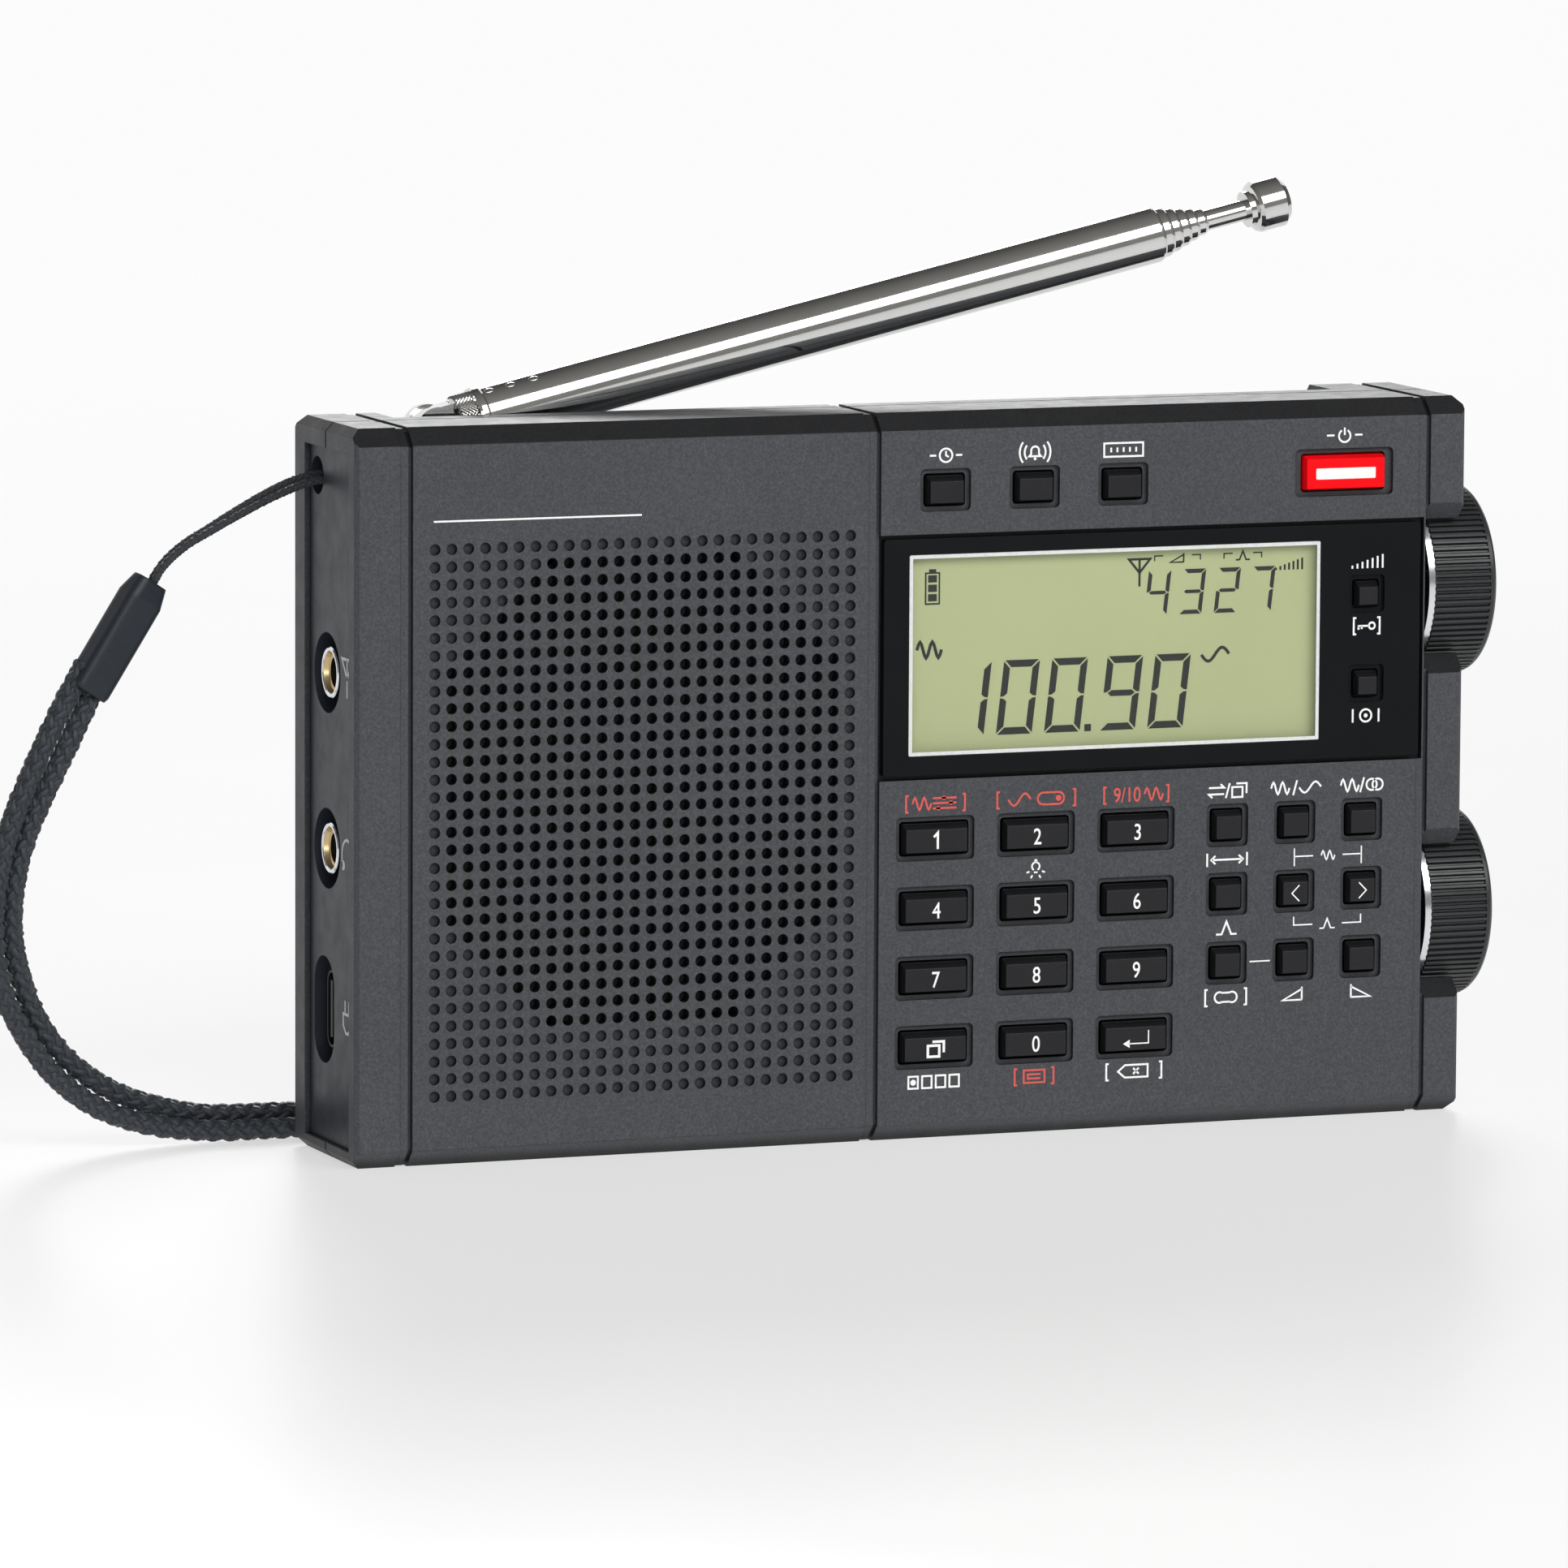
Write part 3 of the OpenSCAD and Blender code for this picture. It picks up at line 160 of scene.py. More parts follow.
class Shader:
    """Builds the node tree of one material round a single surface shader."""

    def __init__(self, name: str, **constants: object) -> None:
        """Starts a material.

        Args:
            name: Name of the material.
            **constants: Values of the surface shader's own sockets, with _ for a space.
        """
        self.material = bpy.data.materials.new(name)
        self.material.use_nodes = True
        self.tree = self.material.node_tree
        self.surface = self.tree.nodes["Principled BSDF"]
        for key, value in constants.items():
            self.surface.inputs[key.replace("_", " ")].default_value = value

    def node(self, kind: str, **settings: object) -> bpy.types.Node:
        """Adds a node and sets its properties."""
        made = self.tree.nodes.new(kind)
        for key, value in settings.items():
            setattr(made, key, value)
        return made

    def join(self, source: bpy.types.NodeSocket, target: bpy.types.NodeSocket) -> None:
        """Links two sockets."""
        self.tree.links.new(source, target)

    def coordinates(self, stretch: Sequence[float] = (1, 1, 1),
                    turn: Sequence[float] = (0, 0, 0)) -> bpy.types.NodeSocket:
        """Gives the pattern's coordinates.

        Args:
            stretch: Scale along each axis.
            turn: Turn about each axis, in radians.

        Returns:
            The mapped coordinates.
        """
        place = self.node("ShaderNodeTexCoord")
        mapping = self.node("ShaderNodeMapping")
        mapping.inputs["Scale"].default_value = stretch
        mapping.inputs["Rotation"].default_value = turn
        self.join(place.outputs["Object"], mapping.inputs["Vector"])
        return mapping.outputs["Vector"]

    def noise(self, size: float, detail: float = 3, stretch: Sequence[float] = (1, 1, 1),
              roughness: float = 0.55, turn: Sequence[float] = (0, 0, 0)) -> bpy.types.NodeSocket:
        """Adds a noise pattern.

        Args:
            size: Size of a grain.
            detail: Octaves of the noise.
            stretch: Scale of the coordinates along each axis.
            roughness: Weight of the finer octaves.
            turn: Turn of the pattern about each axis.

        Returns:
            The noise's value, from 0 to 1.
        """
        made = self.node("ShaderNodeTexNoise")
        made.inputs["Scale"].default_value = 1 / size
        made.inputs["Detail"].default_value = detail
        made.inputs["Roughness"].default_value = roughness
        self.join(self.coordinates(stretch=stretch, turn=turn), made.inputs["Vector"])
        return made.outputs["Fac"]

    def ramp(self, value: bpy.types.NodeSocket,
             stops: Sequence[tuple[float, Colour | float]]) -> bpy.types.NodeSocket:
        """Maps a value to colours.

        Args:
            value: Value from 0 to 1.
            stops: Places and their colours, or grey levels.

        Returns:
            The ramp's colour.
        """
        made = self.node("ShaderNodeValToRGB")
        for at, (place, level) in enumerate(stops):
            element = made.color_ramp.elements[at] if at < 2 else made.color_ramp.elements.new(place)
            element.position = place
            element.color = (level, level, level, 1) if isinstance(level, (int, float)) else (*level, 1)
        self.join(value, made.inputs["Fac"])
        return made.outputs["Color"]

    def product(self, one: bpy.types.NodeSocket, other: bpy.types.NodeSocket) -> bpy.types.NodeSocket:
        """Multiplies two colours."""
        made = self.node("ShaderNodeMix", data_type="RGBA", blend_type="MULTIPLY")
        made.inputs["Factor"].default_value = 1
        self.join(one, made.inputs[6])
        self.join(other, made.inputs[7])
        return made.outputs[2]

    def relief(self, height: bpy.types.NodeSocket, depth: float, strength: float = 1.0,
               over: bpy.types.NodeSocket | None = None) -> bpy.types.NodeSocket:
        """Adds a bump.

        Args:
            height: Pattern of the height, from 0 to 1.
            depth: Depth that a step from 0 to 1 stands for.
            strength: Strength of the bump.
            over: Normal of a coarser bump under this one.

        Returns:
            The bumped normal.
        """
        made = self.node("ShaderNodeBump")
        made.inputs["Strength"].default_value = strength
        made.inputs["Distance"].default_value = depth
        self.join(height, made.inputs["Height"])
        if over is not None:
            self.join(over, made.inputs["Normal"])
        return made.outputs["Normal"]

    def rounded(self, radius: float) -> bpy.types.NodeSocket:
        """Gives a normal that rounds sharp edges.

        Args:
            radius: Radius of the rounding.

        Returns:
            The rounded normal.
        """
        made = self.node("ShaderNodeBevel", samples=4)
        made.inputs["Radius"].default_value = radius
        return made.outputs["Normal"]

    def hollows(self, reach: float, deepest: float) -> bpy.types.NodeSocket:
        """Gives a painted shade factor that falls in corners and small holes.

        Args:
            reach: Distance to the surfaces that count.
            deepest: Factor where a place is closed in, the darkest painted shade.

        Returns:
            The factor, as a colour.
        """
        made = self.node("ShaderNodeAmbientOcclusion", samples=6)
        made.inputs["Distance"].default_value = reach
        return self.ramp(made.outputs["AO"], [(0.25, deepest), (0.85, 1.0)])

    def slopes(self, level: float) -> bpy.types.NodeSocket:
        """Gives a painted shade factor for facets that face partly up, between upright and level ones.

        Args:
            level: Painted shade factor on those facets.

        Returns:
            The factor, as a colour.
        """
        split = self.node("ShaderNodeSeparateXYZ")
        self.join(self.node("ShaderNodeNewGeometry").outputs["True Normal"], split.inputs[0])
        return self.ramp(split.outputs["Z"], [(0.25, 1.0), (0.34, level), (0.9, level), (0.97, 1.0)])

    def drive(self, socket: str, value: bpy.types.NodeSocket) -> None:
        """Feeds one of the surface shader's sockets."""
        self.join(value, self.surface.inputs[socket])


def tinted(colour: Colour, level: float) -> Colour:
    """Returns a colour made lighter or darker."""
    return (colour[0] * level, colour[1] * level, colour[2] * level)


@dataclass(frozen=True)
class MouldedPlastic:
    """Moulded plastic with an eroded grain, from coarse to nearly smooth, and painted shade in corners, small
    holes and on facets that face partly up.
    """

    name: str
    colour: Colour
    roughness: float = 0.5
    grain: float = 0.22 * MM
    relief: float = 0.02 * MM
    speckle: float = 0.35
    gloss: float = 0.5
    edge: float = 0.14 * MM
    # painted shade: colour factor in corners and small holes
    hollow: float = 0.3
    # painted shade: colour factor on facets that face partly up, such as the top bevel
    slope: float = 1.0

    def material(self) -> bpy.types.Material:
        """Builds the material."""
        shader = Shader(self.name, Specular_IOR_Level=self.gloss)
        fine = shader.noise(self.grain, detail=2, roughness=0.7)
        broad = shader.noise(14 * MM, detail=3)
        grains = shader.ramp(fine, [(0.3, tinted(self.colour, 1 - self.speckle)), (0.55, self.colour),
                                    (0.75, tinted(self.colour, 1 + 1.5 * self.speckle))])
        worn = shader.product(grains, shader.ramp(broad, [(0.3, 0.93), (0.7, 1.0)]))
        # painted shade: the colour is darkened in corners and small holes and on facets that face partly up
        painted_shade = shader.product(shader.hollows(1.6 * MM, self.hollow), shader.slopes(self.slope))
        shader.drive("Base Color", shader.product(worn, painted_shade))
        shader.drive("Roughness", shader.ramp(shader.noise(2.5 * MM, detail=4), [
            (0.3, self.roughness - 0.05), (0.7, self.roughness + 0.06)]))
        shader.drive("Normal", shader.relief(fine, self.relief, over=shader.rounded(self.edge)))
        return shader.material


@dataclass(frozen=True)
class PolishedPlastic:
    """Hard glossy plastic with hair scratches and a soft orange peel."""

    name: str
    colour: Colour
    roughness: float = 0.08
    coat: float = 0.3
    gloss: float = 0.5

    def material(self) -> bpy.types.Material:
        """Builds the material."""
        shader = Shader(self.name, Coat_Weight=self.coat, Coat_Roughness=0.04, Specular_IOR_Level=self.gloss)
        scratch = shader.noise(0.35 * MM, detail=5, stretch=(0.08, 1, 1), turn=(0, 0.4, 0))
        shader.drive("Base Color", shader.ramp(shader.noise(9 * MM), [
            (0.35, tinted(self.colour, 0.9)), (0.65, tinted(self.colour, 1.08))]))
        shader.drive("Roughness", shader.ramp(scratch, [(0.45, self.roughness), (0.8, self.roughness + 0.1)]))
        shader.drive("Normal", shader.relief(shader.noise(3 * MM, detail=1), 0.002 * MM,
                                             over=shader.rounded(0.12 * MM)))
        return shader.material


@dataclass(frozen=True)
class BrightMetal:
    """Plated or turned metal with fine drawing marks along one axis."""

    name: str
    colour: Colour
    roughness: float = 0.07
    marks: Point2 = (1.0, 0.06)
    smudge: float = 0.05

    def material(self) -> bpy.types.Material:
        """Builds the material."""
        shader = Shader(self.name, Metallic=1.0)
        stretch = (self.marks[1], self.marks[0], self.marks[0])
        fine = shader.noise(0.12 * MM, detail=4, stretch=stretch, turn=(0, math.radians(12.8), 0))
        smear = shader.noise(6 * MM, detail=5, roughness=0.65)
        shader.drive("Base Color", shader.ramp(smear, [(0.3, tinted(self.colour, 0.94)), (0.7, self.colour)]))
        shader.drive("Roughness", shader.ramp(smear, [
            (0.35, self.roughness), (0.75, self.roughness + self.smudge)]))
        shader.drive("Normal", shader.relief(fine, 0.0012 * MM, strength=0.6))
        return shader.material


@dataclass(frozen=True)
class PrintedInk:
    """Screen-printed ink with a faint uneven cover."""

    name: str
    colour: Colour
    roughness: float = 0.45
    gloss: float = 0.4

    def material(self) -> bpy.types.Material:
        """Builds the material."""
        shader = Shader(self.name, Specular_IOR_Level=self.gloss)
        cover = shader.noise(0.3 * MM, detail=3)
        shader.drive("Base Color", shader.ramp(cover, [
            (0.25, tinted(self.colour, 0.86)), (0.6, self.colour)]))
        shader.drive("Roughness", shader.ramp(cover, [(0.3, self.roughness), (0.8, self.roughness + 0.12)]))
        shader.drive("Normal", shader.relief(cover, 0.004 * MM))
        return shader.material


@dataclass(frozen=True)
class LiquidCrystal:
    """Reflective display glass: olive, with a fine polariser grain and slow shade."""

    name: str
    colour: Colour

    def material(self) -> bpy.types.Material:
        """Builds the material."""
        shader = Shader(self.name, Specular_IOR_Level=0.12, Roughness=0.42)
        slow = shader.noise(30 * MM, detail=1)
        grain = shader.noise(0.18 * MM, detail=2)
        base = shader.ramp(slow, [(0.3, tinted(self.colour, 0.95)), (0.7, tinted(self.colour, 1.04))])
        shader.drive("Base Color", shader.product(base, shader.ramp(grain, [(0.3, 0.97), (0.7, 1.0)])))
        shader.drive("Normal", shader.relief(grain, 0.002 * MM))
        return shader.material


@dataclass(frozen=True)
class ClearLens:
    """Clear acrylic over the display, seen by its gloss alone."""

    name: str
    tint: Colour
    cover: float = 0.03

    def material(self) -> bpy.types.Material:
        """Builds the material."""
        shader = Shader(self.name, Alpha=self.cover, IOR=1.49, Specular_IOR_Level=0.3)
        haze = shader.noise(5 * MM, detail=4)
        shader.drive("Base Color", shader.ramp(haze, [(0.3, tinted(self.tint, 0.9)), (0.7, self.tint)]))
        shader.drive("Roughness", shader.ramp(haze, [(0.3, 0.03), (0.7, 0.09)]))
        return shader.material


@dataclass(frozen=True)
class Yarn:
    """Twisted synthetic yarn: fibres along the thread, sheen, uneven dye, and painted shade in the gaps between
    yarns.
    """

    name: str
    colour: Colour
    fibre: float = 0.09 * MM

    def material(self) -> bpy.types.Material:
        """Builds the material."""
        shader = Shader(self.name, Sheen_Weight=0.1, Sheen_Roughness=0.4, Specular_IOR_Level=0.5)
        fibre = shader.noise(self.fibre, detail=3, roughness=0.6)
        patch = shader.noise(1.1 * MM, detail=3)
        threads = shader.ramp(fibre, [(0.3, tinted(self.colour, 0.35)), (0.52, self.colour),
                                      (0.72, tinted(self.colour, 2.6))])
        dyed = shader.product(threads, shader.ramp(patch, [(0.3, 0.7), (0.7, 1.0)]))
        # painted shade: the colour is darkened where yarns meet and in the gaps between them
        shader.drive("Base Color", shader.product(dyed, shader.hollows(0.7 * MM, 0.12)))
        shader.drive("Roughness", shader.ramp(fibre, [(0.3, 0.65), (0.75, 0.38)]))
        shader.drive("Normal", shader.relief(fibre, 0.05 * MM))
        return shader.material


@dataclass(frozen=True)
class InsidePart:
    """Finish of a piece inside the case: a base colour with a second one in patches."""

    name: str
    colour: Colour
    patches: Colour
    grain: float
    metallic: float = 0.0
    roughness: float = 0.5

    def material(self) -> bpy.types.Material:
        """Builds the material."""
        shader = Shader(self.name, Metallic=self.metallic)
        pattern = shader.noise(self.grain, detail=4)
        shader.drive("Base Color", shader.ramp(pattern, [(0.42, self.colour), (0.6, self.patches)]))
        shader.drive("Roughness", shader.ramp(pattern, [
            (0.3, self.roughness - 0.08), (0.7, self.roughness + 0.1)]))
        shader.drive("Normal", shader.relief(pattern, 0.03 * MM))
        return shader.material


class Finishes:
    """Every finish of the radio, built once."""

    def __init__(self) -> None:
        """Builds the materials."""
        chrome = (0.72, 0.72, 0.71)
        # Every moulded plastic carries painted shade in corners and small holes; case_plastic also a painted
        # darker top bevel, knob_plastic strong painted shade between its ridges.
        made = [
            MouldedPlastic("case_plastic", (0.055, 0.058, 0.0645), roughness=0.5, gloss=0.28, slope=0.22,
                           grain=0.3 * MM, relief=0.022 * MM, speckle=0.3, hollow=0.12),
            MouldedPlastic("panel_plastic", (0.022, 0.025, 0.034), roughness=0.4, gloss=0.22,
                           relief=0.006 * MM, speckle=0.12),
            MouldedPlastic("key_plastic", (0.0085, 0.0088, 0.0105), roughness=0.34, gloss=0.32,
                           relief=0.003 * MM, speckle=0.2),
            MouldedPlastic("knob_plastic", (0.019, 0.021, 0.023), roughness=0.33, relief=0.006 * MM,
                           speckle=0.3, edge=0.08 * MM, hollow=0.1),
            MouldedPlastic("sleeve_rubber", (0.017, 0.021, 0.028), roughness=0.36, gloss=0.3,
                           relief=0.006 * MM, speckle=0.2, edge=0.5 * MM, hollow=0.7),
            PolishedPlastic("window_gloss", (0.005, 0.0058, 0.007), roughness=0.06, coat=0.0, gloss=0.1),
            PolishedPlastic("power_red", (0.9, 0.002, 0.006), roughness=0.3, coat=0.0, gloss=0.12),
            PolishedPlastic("power_bar_white", (0.85, 0.84, 0.82), roughness=0.3),
            BrightMetal("chrome_plate", chrome),
            BrightMetal("turned_bright", (0.78, 0.8, 0.83), roughness=0.16, marks=(0.06, 1.0)),
            BrightMetal("socket_metal", (0.74, 0.72, 0.68), roughness=0.12),
            BrightMetal("screw_steel", (0.12, 0.12, 0.13), roughness=0.35),
            PrintedInk("white_ink", (0.86, 0.86, 0.85)),
            PrintedInk("coral_ink", (0.62, 0.09, 0.075)),
            PrintedInk("pale_ink", (0.5, 0.52, 0.56)),
            BrightMetal("brass", (0.62, 0.47, 0.25), roughness=0.22),
            Yarn("dust_cloth", (0.004, 0.004, 0.0045)),
            PrintedInk("segment_ink", (0.008, 0.010, 0.009), roughness=0.6, gloss=0.05),
            PrintedInk("display_frame", (0.66, 0.68, 0.68), roughness=0.35),
            LiquidCrystal("display_olive", (0.40, 0.435, 0.228)),
            ClearLens("lens_clear", (0.6, 0.65, 0.6)),
            Yarn("braid_yarn", (0.022, 0.028, 0.037)),
            Yarn("cord_yarn", (0.02, 0.025, 0.031), fibre=0.06 * MM),
            InsidePart("board_green", (0.015, 0.11, 0.04), (0.03, 0.17, 0.07), 2.2 * MM, roughness=0.35),
            InsidePart("speaker_steel", (0.32, 0.32, 0.33), (0.45, 0.45, 0.46), 1.5 * MM, metallic=1.0),
            InsidePart("cone_paper", (0.012, 0.012, 0.013), (0.02, 0.02, 0.021), 0.4 * MM, roughness=0.85),
            InsidePart("battery_wrap", (0.4, 0.41, 0.43), (0.5, 0.51, 0.53), 5 * MM,
                       metallic=0.6, roughness=0.4),
            InsidePart("encoder_metal", (0.4, 0.41, 0.42), (0.5, 0.51, 0.52), 0.8 * MM,
                       metallic=1.0, roughness=0.35),
        ]
        self._made = {finish.name: finish.material() for finish in made}

    def __getitem__(self, name: str) -> bpy.types.Material:
        """Returns the material of that name."""
        return self._made[name]


# ---------------------------------------------------------------- flat marks


@dataclass
class Sheet:
    """A plane to draw on: where its zero is, and which way it runs."""

    origin: Vector
    across: Vector
    up: Vector

    @property
    def out(self) -> Vector:
        """Direction out of the surface."""
        return self.across.cross(self.up)

    def moved(self, across: float, up: float) -> "Sheet":
        """Returns the same plane with its zero moved."""
        return Sheet(self.at((across, up)), self.across, self.up)

    def at(self, point: Point2, lift: float = 0.0) -> Vector:
        """Returns the place of a drawn point.

        Args:
            point: Coordinates on the plane.
            lift: Height over the plane.

        Returns:
            The point in the row frame.
        """
        return self.origin + self.across * point[0] + self.up * point[1] + self.out * lift


def front_sheet(x: float, y: float, z: float) -> Sheet:
    """Returns a plane that faces the front, with its zero at a point."""
    return Sheet(Vector((x, y, z)), Vector((1, 0, 0)), Vector((0, 0, 1)))


def left_sheet(x: float, y: float, z: float) -> Sheet:
    """Returns a plane that faces the left end, with its zero at a point."""
    return Sheet(Vector((x, y, z)), Vector((0, -1, 0)), Vector((0, 0, 1)))


def cap_sheet(node: str) -> Sheet:
    """Returns the plane of a key's frontmost flat, with its zero in the middle."""
    cap = cap_of(node)
    return front_sheet(cap.middle.x, cap.low.y, cap.middle.z)


def arc(centre: Point2, radius: float, start: float, end: float, steps: int = 16) -> list[Point2]:
    """Gives the points of an arc.

    Args:
        centre: Centre of the arc.
        radius: Its radius.
        start: First angle, in degrees.
        end: Last angle, in degrees.
        steps: Number of steps.

    Returns:
        The arc's points.
    """
    turn = [math.radians(start + (end - start) * step / steps) for step in range(steps + 1)]
    return [(centre[0] + radius * math.cos(a), centre[1] + radius * math.sin(a)) for a in turn]


def open_line(*points: Point2) -> Line:
    """Gives an open line."""
    return list(points), False


def closed_line(*points: Point2) -> Line:
    """Gives a closed line."""
    return list(points), True


def round_line(centre: Point2, radius: float, steps: int = 20) -> Line:
    """Gives a closed round line."""
    return closed_line(*arc(centre, radius, 0, 360, steps)[:-1])


def rectangle(half_x: float, half_y: float, x: float = 0.0) -> Line:
    """Gives a closed rectangle, moved sideways to x."""
    left, right = x - half_x, x + half_x
    return closed_line((left, -half_y), (right, -half_y), (right, half_y), (left, half_y))


def mirrored(*points: Point2) -> list[Line]:
    """Gives a line's mirror image about the upright axis, and the line."""
    return [open_line(*((side * x, y) for x, y in points)) for side in (-1, 1)]


def brackets(half: float) -> list[Line]:
    """Gives a pair of square brackets that far from the middle."""
    return mirrored((half - 0.18, 0.55), (half, 0.55), (half, -0.55), (half - 0.18, -0.55))


def set_aside(lines: list[Line], shift: float) -> list[Line]:
    """Gives lines moved sideways."""
    return [([(x + shift, y) for x, y in points], closed) for points, closed in lines]


def pair(left: list[Line], right: list[Line], half: float) -> list[Line]:
    """Sets two marks side by side with a slash between them."""
    return set_aside(left, -half) + set_aside(right, half) + [open_line((-0.14, -0.5), (0.14, 0.5))]


SHORT_WAVE_LINES = [open_line(*((-0.65 + i / 12, 0.4 * math.sin(math.pi * i / 4)) for i in range(17)))]
LONG_WAVE_LINES = [open_line(*((-0.8 + i / 10, 0.36 * math.sin(math.pi * (-1 + i / 8))) for i in range(17)))]
SHEET_LINES = [closed_line((-0.5, -0.46), (0.25, -0.46), (0.25, 0.22), (-0.5, 0.22)),
          open_line((-0.2, 0.46), (0.55, 0.46), (0.55, -0.22))]


@dataclass(frozen=True)
class Picture:
    """Lines and discs of a mark that is one unit tall about its middle."""

    lines: list[Line]
    discs: list[tuple[Point2, float]] = field(default_factory=list)


class Mark(Enum):
    """Simple pictures that stand where the case carries a printed word."""

    CLOCK = Picture([round_line((0, 0), 0.45), open_line((0, 0.28), (0, 0), (0.2, -0.12)),
                    *mirrored((0.7, 0), (1.15, 0))])
    BELL = Picture([closed_line((-0.42, -0.25), (-0.28, -0.1), *arc((0, 0.12), 0.28, 180, 0, 10),
                                (0.28, -0.1), (0.42, -0.25)),
                    *(open_line(*arc((0, 0.02), radius, turn - 38, turn + 38, 8))
                      for radius in (0.75, 1.1) for turn in (0, 180))], [((0, -0.42), 0.1)])
    SCREEN = Picture([rectangle(1.4, 0.45),
                     *(open_line((x, -0.16), (x, 0.16)) for x in (-0.9, -0.45, 0, 0.45, 0.9))])
    POWER = Picture([open_line(*arc((0, -0.05), 0.42, 120, 420, 20)), open_line((0, 0), (0, 0.5)),
                     *mirrored((0.75, 0), (1.3, 0))])
    STEPS = Picture([open_line((-1.1 + 0.37 * i, -0.45), (-1.1 + 0.37 * i, -0.25 + 0.12 * i))
                    for i in range(7)])
    KEY = Picture([round_line((0.38, 0), 0.22, 14), open_line((0.15, 0), (-0.65, 0)),
                   open_line((-0.6, 0), (-0.6, -0.24)),
                   open_line((-0.36, 0), (-0.36, -0.2)), *brackets(0.95)])
    TARGET = Picture([round_line((0, 0), 0.42), *mirrored((0.95, 0.45), (0.95, -0.45))], [((0, 0), 0.14)])
    SWAP = Picture(pair([open_line((-0.55, 0.22), (0.55, 0.22), (0.3, 0.46)),
                         open_line((0.55, -0.22), (-0.55, -0.22), (-0.3, -0.46))], SHEET_LINES, 0.82))
    BANDS = Picture(pair(SHORT_WAVE_LINES, LONG_WAVE_LINES, 1.1))
    LONG_WAVE = Picture(LONG_WAVE_LINES)
    TWIN_RINGS = Picture(pair(SHORT_WAVE_LINES,
                              [round_line((-0.22, 0), 0.38), round_line((0.22, 0), 0.38)], 0.92))
    SPAN = Picture([*mirrored((1.45, 0.45), (1.45, -0.45)), *mirrored((0.85, 0.28), (1.15, 0), (0.85, -0.28)),
                    open_line((-1.1, 0), (1.1, 0))])
    WAVE = Picture(SHORT_WAVE_LINES)
    SLOPES = Picture([open_line((-0.75, -0.4), (-0.35, -0.4), (0, 0.45), (0.35, -0.4), (0.75, -0.4))])
    LOOP = Picture([open_line(*arc((-0.45, 0), 0.36, 60, 300, 14)),
                    open_line(*arc((0.45, 0), 0.36, -120, 120, 14)),
                    open_line((-0.3, 0.31), (0.3, 0.31)),
                    open_line((-0.3, -0.31), (0.3, -0.31)), *brackets(1.5)])
    LOW_SIDE = Picture([open_line((0.65, -0.45), (0.65, 0.45)),
                        open_line((0.65, 0.3), (-0.75, -0.42), (0.65, -0.42))])
    HIGH_SIDE = Picture([open_line((-0.65, -0.45), (-0.65, 0.45)),
                         open_line((-0.65, 0.3), (0.75, -0.42), (-0.65, -0.42))])
    SLIDERS = Picture([*(open_line((-0.2, y), (1.5, y)) for y in (-0.34, 0, 0.34)),
                       *set_aside(SHORT_WAVE_LINES, -1.0),
                       *brackets(2.1)], [((0.2, -0.34), 0.15), ((1.1, 0), 0.15), ((0.6, 0.34), 0.15)])
    SWITCH = Picture([closed_line(*arc((1.6, 0), 0.4, -90, 90, 8), *arc((0.5, 0), 0.4, 90, 270, 8)),
                      open_line(*((-2.0 + i / 10, 0.396 * math.sin(math.pi * (-1 + i / 8)))
                                  for i in range(17))),
                      *brackets(2.8)], [((1.6, 0), 0.2)])
    GRID = Picture([*set_aside(SHORT_WAVE_LINES, 1.25), *brackets(2.33)])
    CARD = Picture([rectangle(0.75, 0.42),
                    open_line((0.45, 0.14), (-0.45, 0.14), (-0.45, -0.14), (0.45, -0.14)),
                    *brackets(1.4)])
    PAGES = Picture(SHEET_LINES)
    CELLS = Picture([rectangle(0.34, 0.4, x) for x in (-1.47, -0.49, 0.49, 1.47)], [((-1.47, 0), 0.2)])
    CROSS_BOX = Picture([closed_line((-1.15, 0), (-0.65, 0.42), (1.0, 0.42), (1.0, -0.42), (-0.65, -0.42)),
                         open_line((-0.05, -0.2), (0.35, 0.2)),
                         open_line((-0.05, 0.2), (0.35, -0.2)), *brackets(2.0)])
    LAMP = Picture([open_line(*arc((0, 0.12), 0.22, -60, 240, 14)), open_line((-0.1, -0.2), (0.1, -0.2)),
                    *(open_line(*(arc((0, -0.02), reach, turn, turn, 1)[0] for reach in (0.38, 0.56)))
                      for turn in (200, 240, 300, 340))], [((0, 0.42), 0.09)])
    MAST = Picture([closed_line((-0.42, 0.5), (0.42, 0.5), (0, 0)), open_line((0, 0.5), (0, -0.5))])
    HEADPHONES = Picture([open_line((-0.42, -0.4), *arc((0, 0), 0.42, 180, 0, 14), (0.42, -0.4))],
                         [((-0.32, -0.3), 0.14), ((0.32, -0.3), 0.14)])
    PLUG = Picture([closed_line((-0.3, 0.1), (-0.3, -0.2), (-0.1, -0.4), (0.1, -0.4),
                                (0.3, -0.2), (0.3, 0.1)),
                    *mirrored((0.15, 0.12), (0.15, 0.45))])


